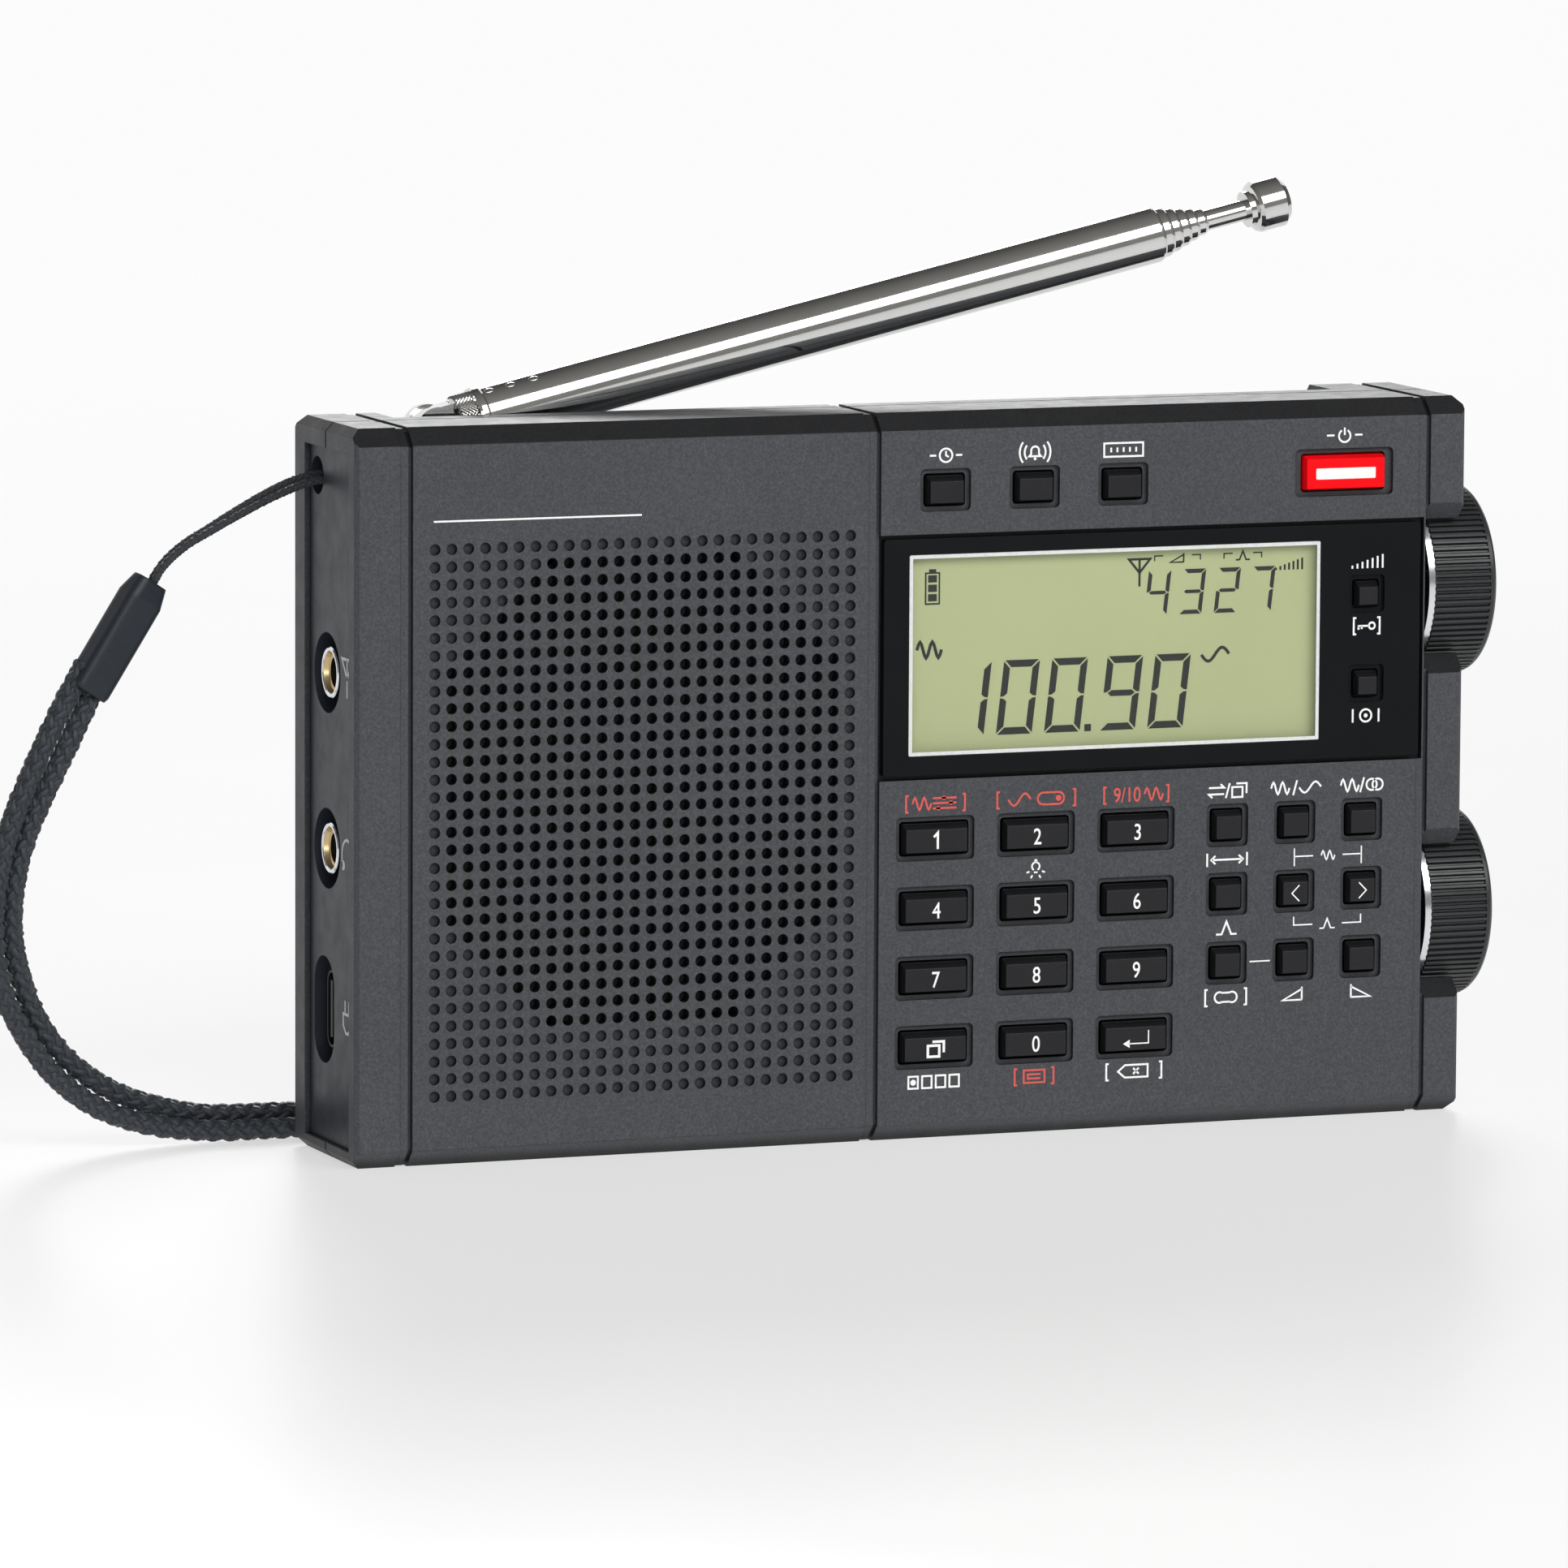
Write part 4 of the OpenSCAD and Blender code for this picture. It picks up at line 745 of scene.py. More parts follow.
class Drawing:
    """Flat strokes and shapes on sheets, gathered into one thin mesh."""

    def __init__(self) -> None:
        """Starts empty."""
        self.mesh = bmesh.new()

    def shape(self, sheet: Sheet, points: Sequence[Point2]) -> None:
        """Adds a filled outline.

        Args:
            sheet: Plane that it lies on.
            points: Corners of the outline, in order.
        """
        low = [self.mesh.verts.new(sheet.at(p)) for p in points]
        top = [self.mesh.verts.new(sheet.at(p, PRINT_LIFT)) for p in points]
        self.mesh.faces.new(top)
        self.mesh.faces.new(low[::-1])
        for i in range(len(points)):
            j = (i + 1) % len(points)
            self.mesh.faces.new((low[i], low[j], top[j], top[i]))

    def stroke(self, sheet: Sheet, points: Sequence[Point2], width: float, closed: bool = False) -> None:
        """Adds a line of even width with mitred corners.

        Args:
            sheet: Plane that it lies on.
            points: Points of the line.
            width: Width of the line.
            closed: Whether the last point joins the first.
        """
        n = len(points)
        rows = []
        for i, p in enumerate(points):
            before = points[i - 1] if i > 0 or closed else None
            after = points[(i + 1) % n] if i < n - 1 or closed else None
            rows.append(self._mitre(before, p, after, width / 2))
        verts = [[self.mesh.verts.new(sheet.at(p, lift)) for lift in (0, PRINT_LIFT) for p in row]
                 for row in rows]
        for i in range(n if closed else n - 1):
            a, b = verts[i], verts[(i + 1) % n]
            for p, q in ((2, 3), (1, 0), (0, 2), (3, 1)):
                self.mesh.faces.new((a[p], a[q], b[q], b[p]))
        if not closed:
            for end in (verts[0], verts[-1]):
                self.mesh.faces.new((end[0], end[1], end[3], end[2]))

    @staticmethod
    def _mitre(before: Point2 | None, p: Point2, after: Point2 | None, half: float) -> tuple[Point2, Point2]:
        """Gives the two edge points of a line at one of its points.

        Args:
            before: Point before it, if there is one.
            p: The point itself.
            after: Point after it, if there is one.
            half: Half the width of the line.

        Returns:
            The points on both edges.
        """
        here = Vector(p)
        into = (here - Vector(before)).normalized() if before is not None else None
        away = (Vector(after) - here).normalized() if after is not None else None
        into = away if into is None else into
        away = into if away is None else away
        run = (into + away).normalized()
        side = Vector((-run.y, run.x)) * (half / max(SHARPEST_MITRE, run.dot(into)))
        return tuple(here + side), tuple(here - side)

    def mark(self, mark: Mark, sheet: Sheet, height: float, weight: float = 0.13) -> None:
        """Adds a mark.

        Args:
            mark: Which mark.
            sheet: Plane whose zero is the mark's middle.
            height: Height of the mark.
            weight: Line width as a share of the height.
        """
        for points, closed in mark.value.lines:
            self.stroke(sheet, [(x * height, y * height) for x, y in points], weight * height, closed)
        for (x, y), radius in mark.value.discs:
            self.shape(sheet, round_line((x * height, y * height), radius * height)[0])

    def box(self, sheet: Sheet, low: Point2, high: Point2) -> None:
        """Adds a filled rectangle."""
        self.shape(sheet, [low, (high[0], low[1]), high, (low[0], high[1])])

    def finish(self, name: str, material: bpy.types.Material, body: str, slot: str) -> None:
        """Turns all that was drawn into a piece.

        Args:
            name: Name of the piece.
            material: Its ink.
            body: CAD body that carries it.
            slot: Not used.
        """
        bmesh.ops.recalc_face_normals(self.mesh, faces=self.mesh.faces)
        mesh = bpy.data.meshes.new(name)
        self.mesh.to_mesh(mesh)
        self.mesh.free()
        carry(mesh_object(name, mesh, material), body)


class NumberPrint:
    """Prints plain numbers as thin meshes."""

    NARROW = 0.8
    BOLD = 0.006

    def print(self, text: str, sheet: Sheet, height: float) -> bpy.types.Mesh:
        """Makes the mesh of one number.

        Args:
            text: Figures to print.
            sheet: Plane whose zero is the middle of the number.
            height: Height of a figure.

        Returns:
            The mesh in the row frame.
        """
        curve = bpy.data.curves.new("figures", "FONT")
        curve.body = text
        curve.resolution_u = 5
        curve.offset = self.BOLD
        curve.extrude = 0.01
        maker = link(bpy.data.objects.new("figures", curve))
        bpy.context.view_layer.update()
        depsgraph = bpy.context.evaluated_depsgraph_get()
        mesh = bpy.data.meshes.new_from_object(maker.evaluated_get(depsgraph))
        bpy.data.objects.remove(maker)
        bpy.data.curves.remove(curve)
        box = box_round([vertex.co for vertex in mesh.vertices])
        scale = height / (box.high.y - box.low.y)
        for vertex in mesh.vertices:
            local = vertex.co - box.middle
            lift = PRINT_LIFT if local.z > 0 else 0.0
            vertex.co = sheet.at((local.x * scale * self.NARROW, local.y * scale), lift)
        return mesh


# ---------------------------------------------------------------- Geometry Nodes


class NodeForm:
    """A Geometry Nodes tree built in the script, run once and baked to a plain mesh."""

    def __init__(self, name: str) -> None:
        """Starts a tree with its geometry socket.

        Args:
            name: Name of the tree.
        """
        self.tree = bpy.data.node_groups.new(name, "GeometryNodeTree")
        self.tree.interface.new_socket("Geometry", in_out="INPUT", socket_type="NodeSocketGeometry")
        self.tree.interface.new_socket("Geometry", in_out="OUTPUT", socket_type="NodeSocketGeometry")
        self.source = self.tree.nodes.new("NodeGroupInput")
        self.result = self.tree.nodes.new("NodeGroupOutput")
        self.values: dict[str, object] = {}

    def size(self, name: str, value: object, kind: str = "NodeSocketFloat") -> bpy.types.NodeSocket:
        """Adds a named input.

        Args:
            name: Name of the input.
            value: Its value in this run.
            kind: Socket type.

        Returns:
            The input's socket inside the tree.
        """
        item = self.tree.interface.new_socket(name, in_out="INPUT", socket_type=kind)
        self.values[item.identifier] = value
        return next(s for s in self.source.outputs if s.identifier == item.identifier)

    def node(self, kind: str, links: dict[str | int, object] | None = None,
             **settings: object) -> bpy.types.Node:
        """Adds a node.

        Args:
            kind: Node type.
            links: Input name or number to a socket or a constant.
            **settings: Properties of the node.

        Returns:
            The node.
        """
        made = self.tree.nodes.new(kind)
        for key, value in settings.items():
            setattr(made, key, value)
        for key, value in (links or {}).items():
            if isinstance(value, bpy.types.NodeSocket):
                self.tree.links.new(value, made.inputs[key])
            else:
                made.inputs[key].default_value = value
        return made

    def math(self, operation: str, one: object, other: object = 0.0) -> bpy.types.NodeSocket:
        """Adds a sum on two numbers."""
        return self.node("ShaderNodeMath", {0: one, 1: other}, operation=operation).outputs[0]

    def vector(self, operation: str, one: object, other: object) -> bpy.types.NodeSocket:
        """Adds a sum on two vectors."""
        return self.node("ShaderNodeVectorMath", {0: one, 1: other}, operation=operation).outputs[0]

    def scaled(self, direction: object, length: object) -> bpy.types.NodeSocket:
        """Scales a vector."""
        return self.node("ShaderNodeVectorMath", {0: direction, "Scale": length},
                         operation="SCALE").outputs[0]

    def bake(self, name: str, base: bpy.types.Mesh, parts: Iterable[bpy.types.NodeSocket],
             material: bpy.types.Material) -> bpy.types.Object:
        """Joins the parts, realises them, dresses them and bakes the result.

        Args:
            name: Name of the piece.
            base: Mesh that the tree starts from.
            parts: Geometry sockets that make up the piece.
            material: Material of the piece.

        Returns:
            The piece as a plain mesh object.
        """
        joined = self.node("GeometryNodeJoinGeometry")
        for part in reversed(list(parts)):
            self.tree.links.new(part, joined.inputs[0])
        real = self.node("GeometryNodeRealizeInstances", {"Geometry": joined.outputs[0]})
        smooth = self.node("GeometryNodeSetShadeSmooth", {"Geometry": real.outputs[0], "Shade Smooth": True})
        dressed = self.node("GeometryNodeSetMaterial", {"Geometry": smooth.outputs[0]})
        dressed.inputs["Material"].default_value = material
        self.tree.links.new(dressed.outputs[0], self.result.inputs[0])
        carrier = link(bpy.data.objects.new(name + "_form", base))
        modifier = carrier.modifiers.new("form", "NODES")
        modifier.node_group = self.tree
        for identifier, value in self.values.items():
            modifier[identifier] = value
        bpy.context.view_layer.update()
        depsgraph = bpy.context.evaluated_depsgraph_get()
        mesh = bpy.data.meshes.new_from_object(carrier.evaluated_get(depsgraph))
        carrier.modifiers.remove(modifier)
        bpy.data.objects.remove(carrier)
        return mesh_object(name, mesh, material)


# ---------------------------------------------------------------- strap


@dataclass
class Route:
    """A smooth line through given points."""

    points_mm: list[tuple[float, float, float]]
    steps: int

    def line(self) -> list[Vector]:
        """Gives the line's points in metres."""
        p = [Vector(q) * MM for q in self.points_mm]
        last = len(p) - 1
        made = []
        for i in range(last):
            a, b, c, d = p[max(i - 1, 0)], p[i], p[i + 1], p[min(i + 2, last)]
            for step in range(self.steps):
                t = step / self.steps
                made.append(0.5 * (2 * b + (c - a) * t + (2 * a - 5 * b + 4 * c - d) * t * t
                                   + (3 * b - a - 3 * c + d) * t * t * t))
        return made + [p[last]]

    def length(self) -> float:
        """Gives the line's length."""
        line = self.line()
        return sum((b - a).length for a, b in zip(line, line[1:]))


@dataclass
class BraidedCord:
    """A round braid: a core and yarns that wind both ways and pass over and under each other."""

    name: str
    route: Route
    diameter: float
    pitch: float
    yarns: int = 4
    yarn_width: float = 0.36
    core_share: float = 0.72
    yarn_inset: float = 1.35
    yarn_swing: float = 0.36

    def build(self, material: bpy.types.Material) -> bpy.types.Object:
        """Makes the braid's mesh.

        Args:
            material: Yarn that it is made of.

        Returns:
            The braid.
        """
        line = self.route.line()
        base = bpy.data.meshes.new(self.name)
        base.from_pydata(line, [(i, i + 1) for i in range(len(line) - 1)], [])
        form = NodeForm(self.name)
        radius = form.size("Cord radius", self.diameter / 2)
        pitch = form.size("Pitch", self.pitch)
        yarns = form.size("Yarns each way", self.yarns, "NodeSocketInt")
        yarn = form.size("Yarn radius", self.diameter / 2 * self.yarn_width)
        curve = form.node("GeometryNodeMeshToCurve", {"Mesh": form.source.outputs[0]}).outputs[0]
        core_profile = form.node("GeometryNodeCurvePrimitiveCircle", {
            "Resolution": 8, "Radius": form.math("MULTIPLY", radius, self.core_share)}).outputs[0]
        core = form.node("GeometryNodeCurveToMesh", {
            "Curve": curve, "Profile Curve": core_profile, "Fill Caps": True}).outputs[0]
        profile = form.node("GeometryNodeCurvePrimitiveCircle", {"Resolution": 5, "Radius": yarn}).outputs[0]
        parts = [core] + [self._winding(form, curve, profile, way, radius, pitch, yarns, yarn)
                          for way in (1, -1)]
        return form.bake(self.name, base, parts, material)

    def _winding(self, form: NodeForm, curve: bpy.types.NodeSocket, profile: bpy.types.NodeSocket, way: int,
                 radius: bpy.types.NodeSocket, pitch: bpy.types.NodeSocket, yarns: bpy.types.NodeSocket,
                 yarn: bpy.types.NodeSocket) -> bpy.types.NodeSocket:
        """Winds one set of yarns round the line.

        Args:
            form: Tree that is built.
            curve: The cord's line.
            profile: Section of a yarn.
            way: 1 or -1, the sense of the winding.
            radius: Radius of the cord.
            pitch: Length of one full turn.
            yarns: Number of yarns that wind this way.
            yarn: Radius of a yarn.

        Returns:
            The yarns' geometry.
        """
        copies = form.node("GeometryNodeDuplicateElements", {"Geometry": curve, "Amount": yarns},
                           domain="SPLINE")
        place = form.node("GeometryNodeSplineParameter").outputs["Length"]
        turn = form.math("MULTIPLY", form.math("DIVIDE", place, pitch), way * 2 * math.pi)
        phase = form.math("MULTIPLY", form.math("DIVIDE", copies.outputs[1], yarns), 2 * math.pi)
        angle = form.math("ADD", turn, phase)
        wave = form.math("COSINE", form.math("MULTIPLY", form.math("ABSOLUTE", turn), yarns))
        middle = form.math("SUBTRACT", radius, form.math("MULTIPLY", yarn, self.yarn_inset))
        swing = form.math("MULTIPLY", yarn, way * self.yarn_swing)
        reach = form.math("ADD", middle, form.math("MULTIPLY", wave, swing))
        normal = form.node("GeometryNodeInputNormal").outputs[0]
        tangent = form.node("GeometryNodeInputTangent").outputs[0]
        side = form.vector("CROSS_PRODUCT", tangent, normal)
        along = form.scaled(normal, form.math("MULTIPLY", reach, form.math("COSINE", angle)))
        aside = form.scaled(side, form.math("MULTIPLY", reach, form.math("SINE", angle)))
        moved = form.node("GeometryNodeSetPosition", {
            "Geometry": copies.outputs[0], "Offset": form.vector("ADD", along, aside)})
        return form.node("GeometryNodeCurveToMesh", {
            "Curve": moved.outputs[0], "Profile Curve": profile, "Fill Caps": True}).outputs[0]


@dataclass
class Strap:
    """The wrist strap: a thin doubled cord through the case, a sleeve, and a braided loop."""

    cord_mm: float = 1.05
    cord_pitch_mm: float = 3.6
    braid_mm: float = 2.75
    braid_pitch_mm: float = 8.4
    hole_mm: tuple[float, float, float] = (-68.4, 4.2, 78.5)
    foot_mm: tuple[float, float, float] = (-97, 2, 54.8)
    cord_route: Route = field(default_factory=lambda: Route([
        (-90, 1.3, 65.9), (-89, 1.4, 67.2), (-88.1, 1.6, 68.5), (-86.7, 1.9, 69.8), (-84.5, 2.2, 71.3),
        (-81.7, 2.5, 72.7), (-78.6, 2.8, 74.2), (-75.1, 3.1, 75.8), (-71.8, 3.3, 77.1), (-69, 3.4, 77.9),
        (-66, 3.1, 78), (-64, 2.5, 78.1), (-62.3, 2.9, 78.2), (-61.7, 4.2, 78.4), (-62.3, 5.5, 78.6),
        (-64, 5.9, 78.7), (-66, 5.4, 78.7), (-69, 5, 78.4), (-71.8, 4.8, 77.7), (-75.1, 4.5, 76.3),
        (-78.6, 4.2, 74.5), (-81.7, 3.9, 72.8), (-84.5, 3.6, 71.3), (-86.7, 3.3, 69.7), (-88.1, 3, 68.2),
        (-89, 2.8, 66.9), (-90, 2.7, 65.8)], steps=12))
    braid_route: Route = field(default_factory=lambda: Route([
        (-97.2, 1.7, 57.9), (-99.8, 1.9, 53.2), (-102.8, 2.4, 46.8), (-105.3, 3.6, 40), (-106.6, 5.2, 33),
        (-106.5, 7.2, 26.4), (-104.9, 9.4, 20.6), (-102, 11.3, 15), (-97.9, 12.9, 9.6), (-92.7, 13.9, 5.4),
        (-86.4, 14.5, 2.8), (-79, 14.9, 1.5), (-70, 15.1, 1.25), (-58, 15.2, 1.25), (-46, 15, 1.25),
        (-36, 14.6, 1.25), (-28.5, 15.6, 1.25), (-24.4, 19.6, 1.25), (-25.6, 24.6, 1.25), (-31, 26.4, 1.25),
        (-39, 24.4, 1.25), (-48, 21, 1.3), (-58, 18.6, 2), (-69, 17.2, 2.7), (-78, 16.95, 3),
        (-85.4, 16.4, 4.8), (-90.9, 15.5, 7.3), (-95.6, 14.2, 10.9), (-99.3, 12.6, 15.4), (-102, 10.5, 20.6),
        (-103.8, 8.2, 26), (-104.3, 6.1, 32), (-103.2, 4.3, 38.6), (-100.7, 3.1, 44.8), (-98, 2.5, 50.6),
        (-95, 2.5, 56.7)], steps=32))

    def build(self, finishes: Finishes) -> None:
        """Args:
            finishes: The radio's finishes.
        """
        cord = BraidedCord("strap_cord_braid", self.cord_route, self.cord_mm * MM, self.cord_pitch_mm * MM)
        thin = cord.build(finishes["cord_yarn"])
        braid = BraidedCord("strap_loop_braid", self.braid_route, self.braid_mm * MM,
                            self.braid_pitch_mm * MM)
        loop = braid.build(finishes["braid_yarn"])
        for piece, node in ((thin, "strap_cord"), (loop, "strap_braid")):
            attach(piece, "housing")
            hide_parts(node)
        self.cord_route.length()
        self.cord_route.line()
        self.braid_route.length()
        self.braid_route.line()
        LOG.info("strap: cord %.0f mm, loop %.0f mm",
                 self.cord_route.length() / MM, self.braid_route.length() / MM)


# ---------------------------------------------------------------- turned pieces


def turned(name: str, profile: Sequence[Point2], place: Matrix, material: bpy.types.Material,
           steps: int = 64) -> bpy.types.Object:
    """Turns a profile about its own Z axis.

    Args:
        name: Name of the piece.
        profile: Radius and height of each point, in metres, counter-clockwise seen with the axis on the left.
        place: Matrix into the row frame.
        material: Finish of the piece.
        steps: Number of steps round.

    Returns:
        The piece.
    """
    verts = [(r * math.cos(a), r * math.sin(a), z) for a in (2 * math.pi * i / steps for i in range(steps))
             for r, z in profile]
    count = len(profile)
    faces = [(i * count + j, ((i + 1) % steps) * count + j, ((i + 1) % steps) * count + (j + 1) % count,
              i * count + (j + 1) % count) for i in range(steps) for j in range(count)]
    mesh = bpy.data.meshes.new(name)
    mesh.from_pydata(verts, [], faces)
    mesh.transform(place)
    return mesh_object(name, mesh, material)


@dataclass
class SocketRings:
    """Bright lips round the two plug sockets, with a brass throat inside."""

    places_mm: tuple[float, float] = (56.1, 35.8)
    row_y: float = 0.0007
    deep_mm: float = 0.75
    outer_mm: float = 2.97
    lip_mm: float = 2.42
    bore_mm: float = 1.84

    def build(self, finishes: Finishes) -> None:
        """Makes the lips and the throats.

        Args:
            finishes: The radio's finishes.
        """
        sockets = face_of("plug_sockets")
        level = Matrix.Rotation(-math.pi / 2, 4, "Y")
        for number, height in enumerate(self.places_mm, 1):
            place = Matrix.Translation((sockets.low.x, self.row_y, height * MM)) @ level
            d, outer, lip, bore = (v * MM for v in (self.deep_mm, self.outer_mm, self.lip_mm, self.bore_mm))
            lip_profile = [(lip - 0.12 * MM, 0), (outer, 0), (outer, d - 0.15 * MM), (outer - 0.15 * MM, d),
                           (lip + 0.12 * MM, d), (lip, d - 0.1 * MM)]
            throat_profile = [(bore, 0), (lip - 0.13 * MM, 0),
                              (lip - 0.01 * MM, d - 0.12 * MM), (bore + 0.3 * MM, 0.1 * MM)]
            for name, profile, finish in (("lip", lip_profile, "turned_bright"),
                                          ("throat", throat_profile, "brass")):
                piece = turned(f"socket_{name}_{number}", profile, place, finishes[finish])
                carry(piece, "housing")
        LOG.info("sockets: %d lips", len(self.places_mm))


@dataclass
class DustCloth:
    """Black cloth stretched behind the grille."""

    radius_mm: float = 28.2
    thick_mm: float = 0.06

    def build(self, finishes: Finishes) -> None:
        """Makes the cloth.

        Args:
            finishes: The radio's finishes.
        """
        grille, basket = face_of("speaker_grille"), face_of("speaker_basket")
        place = Matrix.Translation((basket.middle.x, grille.high.y + self.thick_mm * MM, basket.middle.z))
        r, t = self.radius_mm * MM, self.thick_mm * MM
        cloth = turned("dust_cloth", [(0.0001, 0), (r, 0), (r, t), (0.0001, t)],
                       place @ Matrix.Rotation(math.pi / 2, 4, "X"), finishes["dust_cloth"])
        carry(cloth, "housing")


# ---------------------------------------------------------------- case


@dataclass
class Case:
    """Dresses the carried-over CAD nodes and prints the marks of the case."""

    mark_mm: float = 1.75
    gap_mm: float = 1.75
    side_mark_y: float = -6.3 * MM
    rule_mm: tuple[float, float, float] = (-59.6, -34.4, 74.3)
    rule_width_mm: float = 0.21
    row_pitch_mm: float = 8.14
    line_mm: float = 0.16
    dressed: dict[str, list[str]] = field(default_factory=lambda: {
        "case_plastic": ["front_shell", "rear_shell", "speaker_grille", "battery_cover", "kick_stand"],
        "panel_plastic": ["side_panel"],
        "window_gloss": ["display_window"],
        "lens_clear": ["display_lens"],
        "display_olive": ["lcd_module"],
        "board_green": ["main_board"],
        "speaker_steel": ["speaker_basket"],
        "cone_paper": ["speaker_cone"],
        "battery_wrap": ["battery_pack"],
        "encoder_metal": ["encoders"],
        "socket_metal": ["plug_sockets"],
        "screw_steel": ["screws"],
        "key_plastic": ["charge_socket"],
        "sleeve_rubber": ["strap_sleeve"],
        "knob_plastic": ["upper_knob", "lower_knob"],
        "turned_bright": ["upper_spindle", "lower_spindle"],
        "power_red": ["power_key"],
        "chrome_plate": ["aerial_turret", "aerial_elbow", "aerial_rod"]
                        + [f"aerial_tube_{k}" for k in range(1, 7)],
    })

    def dress(self, finishes: Finishes) -> None:
        """Gives every CAD node its finish.

        Args:
            finishes: The radio's finishes.
        """
        finish_of = {node: name for name, nodes in self.dressed.items() for node in nodes}
        for node, obj in frame["nodes"].items():
            name = finish_of.get(node, "key_plastic")
            obj.data.materials.clear()
            obj.data.materials.append(finishes[name])
        LOG.info("case: %d CAD nodes dressed", len(frame["nodes"]))

    def print_marks(self, finishes: Finishes) -> None:
        """Prints the marks beside the keys.

        Args:
            finishes: The radio's finishes.
        """
        face_y = face_of("front_shell").low.y
        white = Drawing()
        coral = Drawing()
        over = {"top_key_1": Mark.CLOCK, "top_key_2": Mark.BELL, "top_key_3": Mark.SCREEN,
                "power_key": Mark.POWER,
                "side_key_1": Mark.STEPS, "band_key_1": Mark.SWAP, "band_key_2": Mark.BANDS,
                "band_key_3": Mark.TWIN_RINGS, "band_key_4": Mark.SPAN, "band_key_7": Mark.SLOPES}
        under = {"side_key_1": Mark.KEY, "side_key_2": Mark.TARGET, "band_key_7": Mark.LOOP,
                 "band_key_8": Mark.LOW_SIDE, "band_key_9": Mark.HIGH_SIDE, "key_memory": Mark.CELLS,
                 "key_enter": Mark.CROSS_BOX}
        coral_over = {"key_1": Mark.SLIDERS, "key_2": Mark.SWITCH, "key_3": Mark.GRID}
        coral_under = {"key_0": Mark.CARD}
        for drawing, marks, way in ((white, over, 1), (white, under, -1), (coral, coral_over, 1),
                                    (coral, coral_under, -1)):
            for node, mark in marks.items():
                key = face_of(node)
                shift = way * (key.height / 2 + self.gap_mm * MM)
                sheet = front_sheet(key.middle.x, face_y, key.middle.z + shift)
                drawing.mark(mark, sheet, self.mark_mm * MM)
        upper, lower = face_of("key_2"), face_of("key_5")
        between = front_sheet(upper.middle.x, face_y, (upper.low.z + lower.high.z) / 2)
        white.mark(Mark.LAMP, between, 2.2 * MM, 0.09)
        key = face_of("key_3")
        above = front_sheet(key.middle.x - 1.15 * MM, face_y, key.high.z + self.gap_mm * MM)
        steps = mesh_object("case_marks_steps", NumberPrint().print("9/10", above, self.mark_mm * MM),
                            finishes["coral_ink"])
        carry(steps, "housing")
        self._side_marks(finishes)
        self._band_lines(white, face_y)
        white.finish("case_marks_white", finishes["white_ink"], "housing", "case_plastic")
        coral.finish("case_marks_coral", finishes["coral_ink"], "housing", "case_plastic")
        LOG.info("case: marks printed")

    def _side_marks(self, finishes: Finishes) -> None:
        """Prints a small sign beside each socket of the left end."""
        panel = face_of("side_panel")
        drawing = Drawing()
        for mark, z, size in ((Mark.MAST, 0.0561, 4.4), (Mark.HEADPHONES, 0.0358, 4.2),
                              (Mark.PLUG, 0.017, 4.4)):
            drawing.mark(mark, left_sheet(panel.low.x, self.side_mark_y, z), size * MM, 0.08)
        drawing.finish("side_marks", finishes["pale_ink"], "housing", "panel_plastic")

    def _band_lines(self, drawing: Drawing, face_y: float) -> None:
        """Draws the lines that tie small keys together, and the line over the grille."""
        first, second = face_of("band_key_5"), face_of("band_key_6")
        sheet = front_sheet((first.middle.x + second.middle.x) / 2, face_y, first.middle.z)
        half = (second.middle.x - first.middle.x) / 2
        width = self.line_mm * MM
        row = self.row_pitch_mm * MM / 2
        for side in (-1, 1):
            drawing.stroke(sheet, [(side * half, row + 0.95 * MM), (side * half, row - 1.15 * MM)], width)
            drawing.stroke(sheet, [(side * half, row), (side * 1.9 * MM, row)], width)
            drawing.stroke(sheet, [(side * half, -row + 1.0 * MM), (side * half, -row),
                           (side * 1.9 * MM, -row)], width)
        drawing.mark(Mark.WAVE, sheet.moved(0, row), 1.3 * MM)
        drawing.mark(Mark.SLOPES, sheet.moved(0, -row), 1.3 * MM)
        link_key, next_key = face_of("band_key_7"), face_of("band_key_8")
        level = front_sheet((link_key.middle.x + next_key.middle.x) / 2, face_y, link_key.middle.z)
        drawing.stroke(level, [(-1.3 * MM, 0), (1.3 * MM, 0)], width)
        grille = face_of("speaker_grille")
        rule = front_sheet(0, grille.low.y, self.rule_mm[2] * MM)
        drawing.stroke(rule, [(x * MM, 0) for x in self.rule_mm[:2]], self.rule_width_mm * MM)


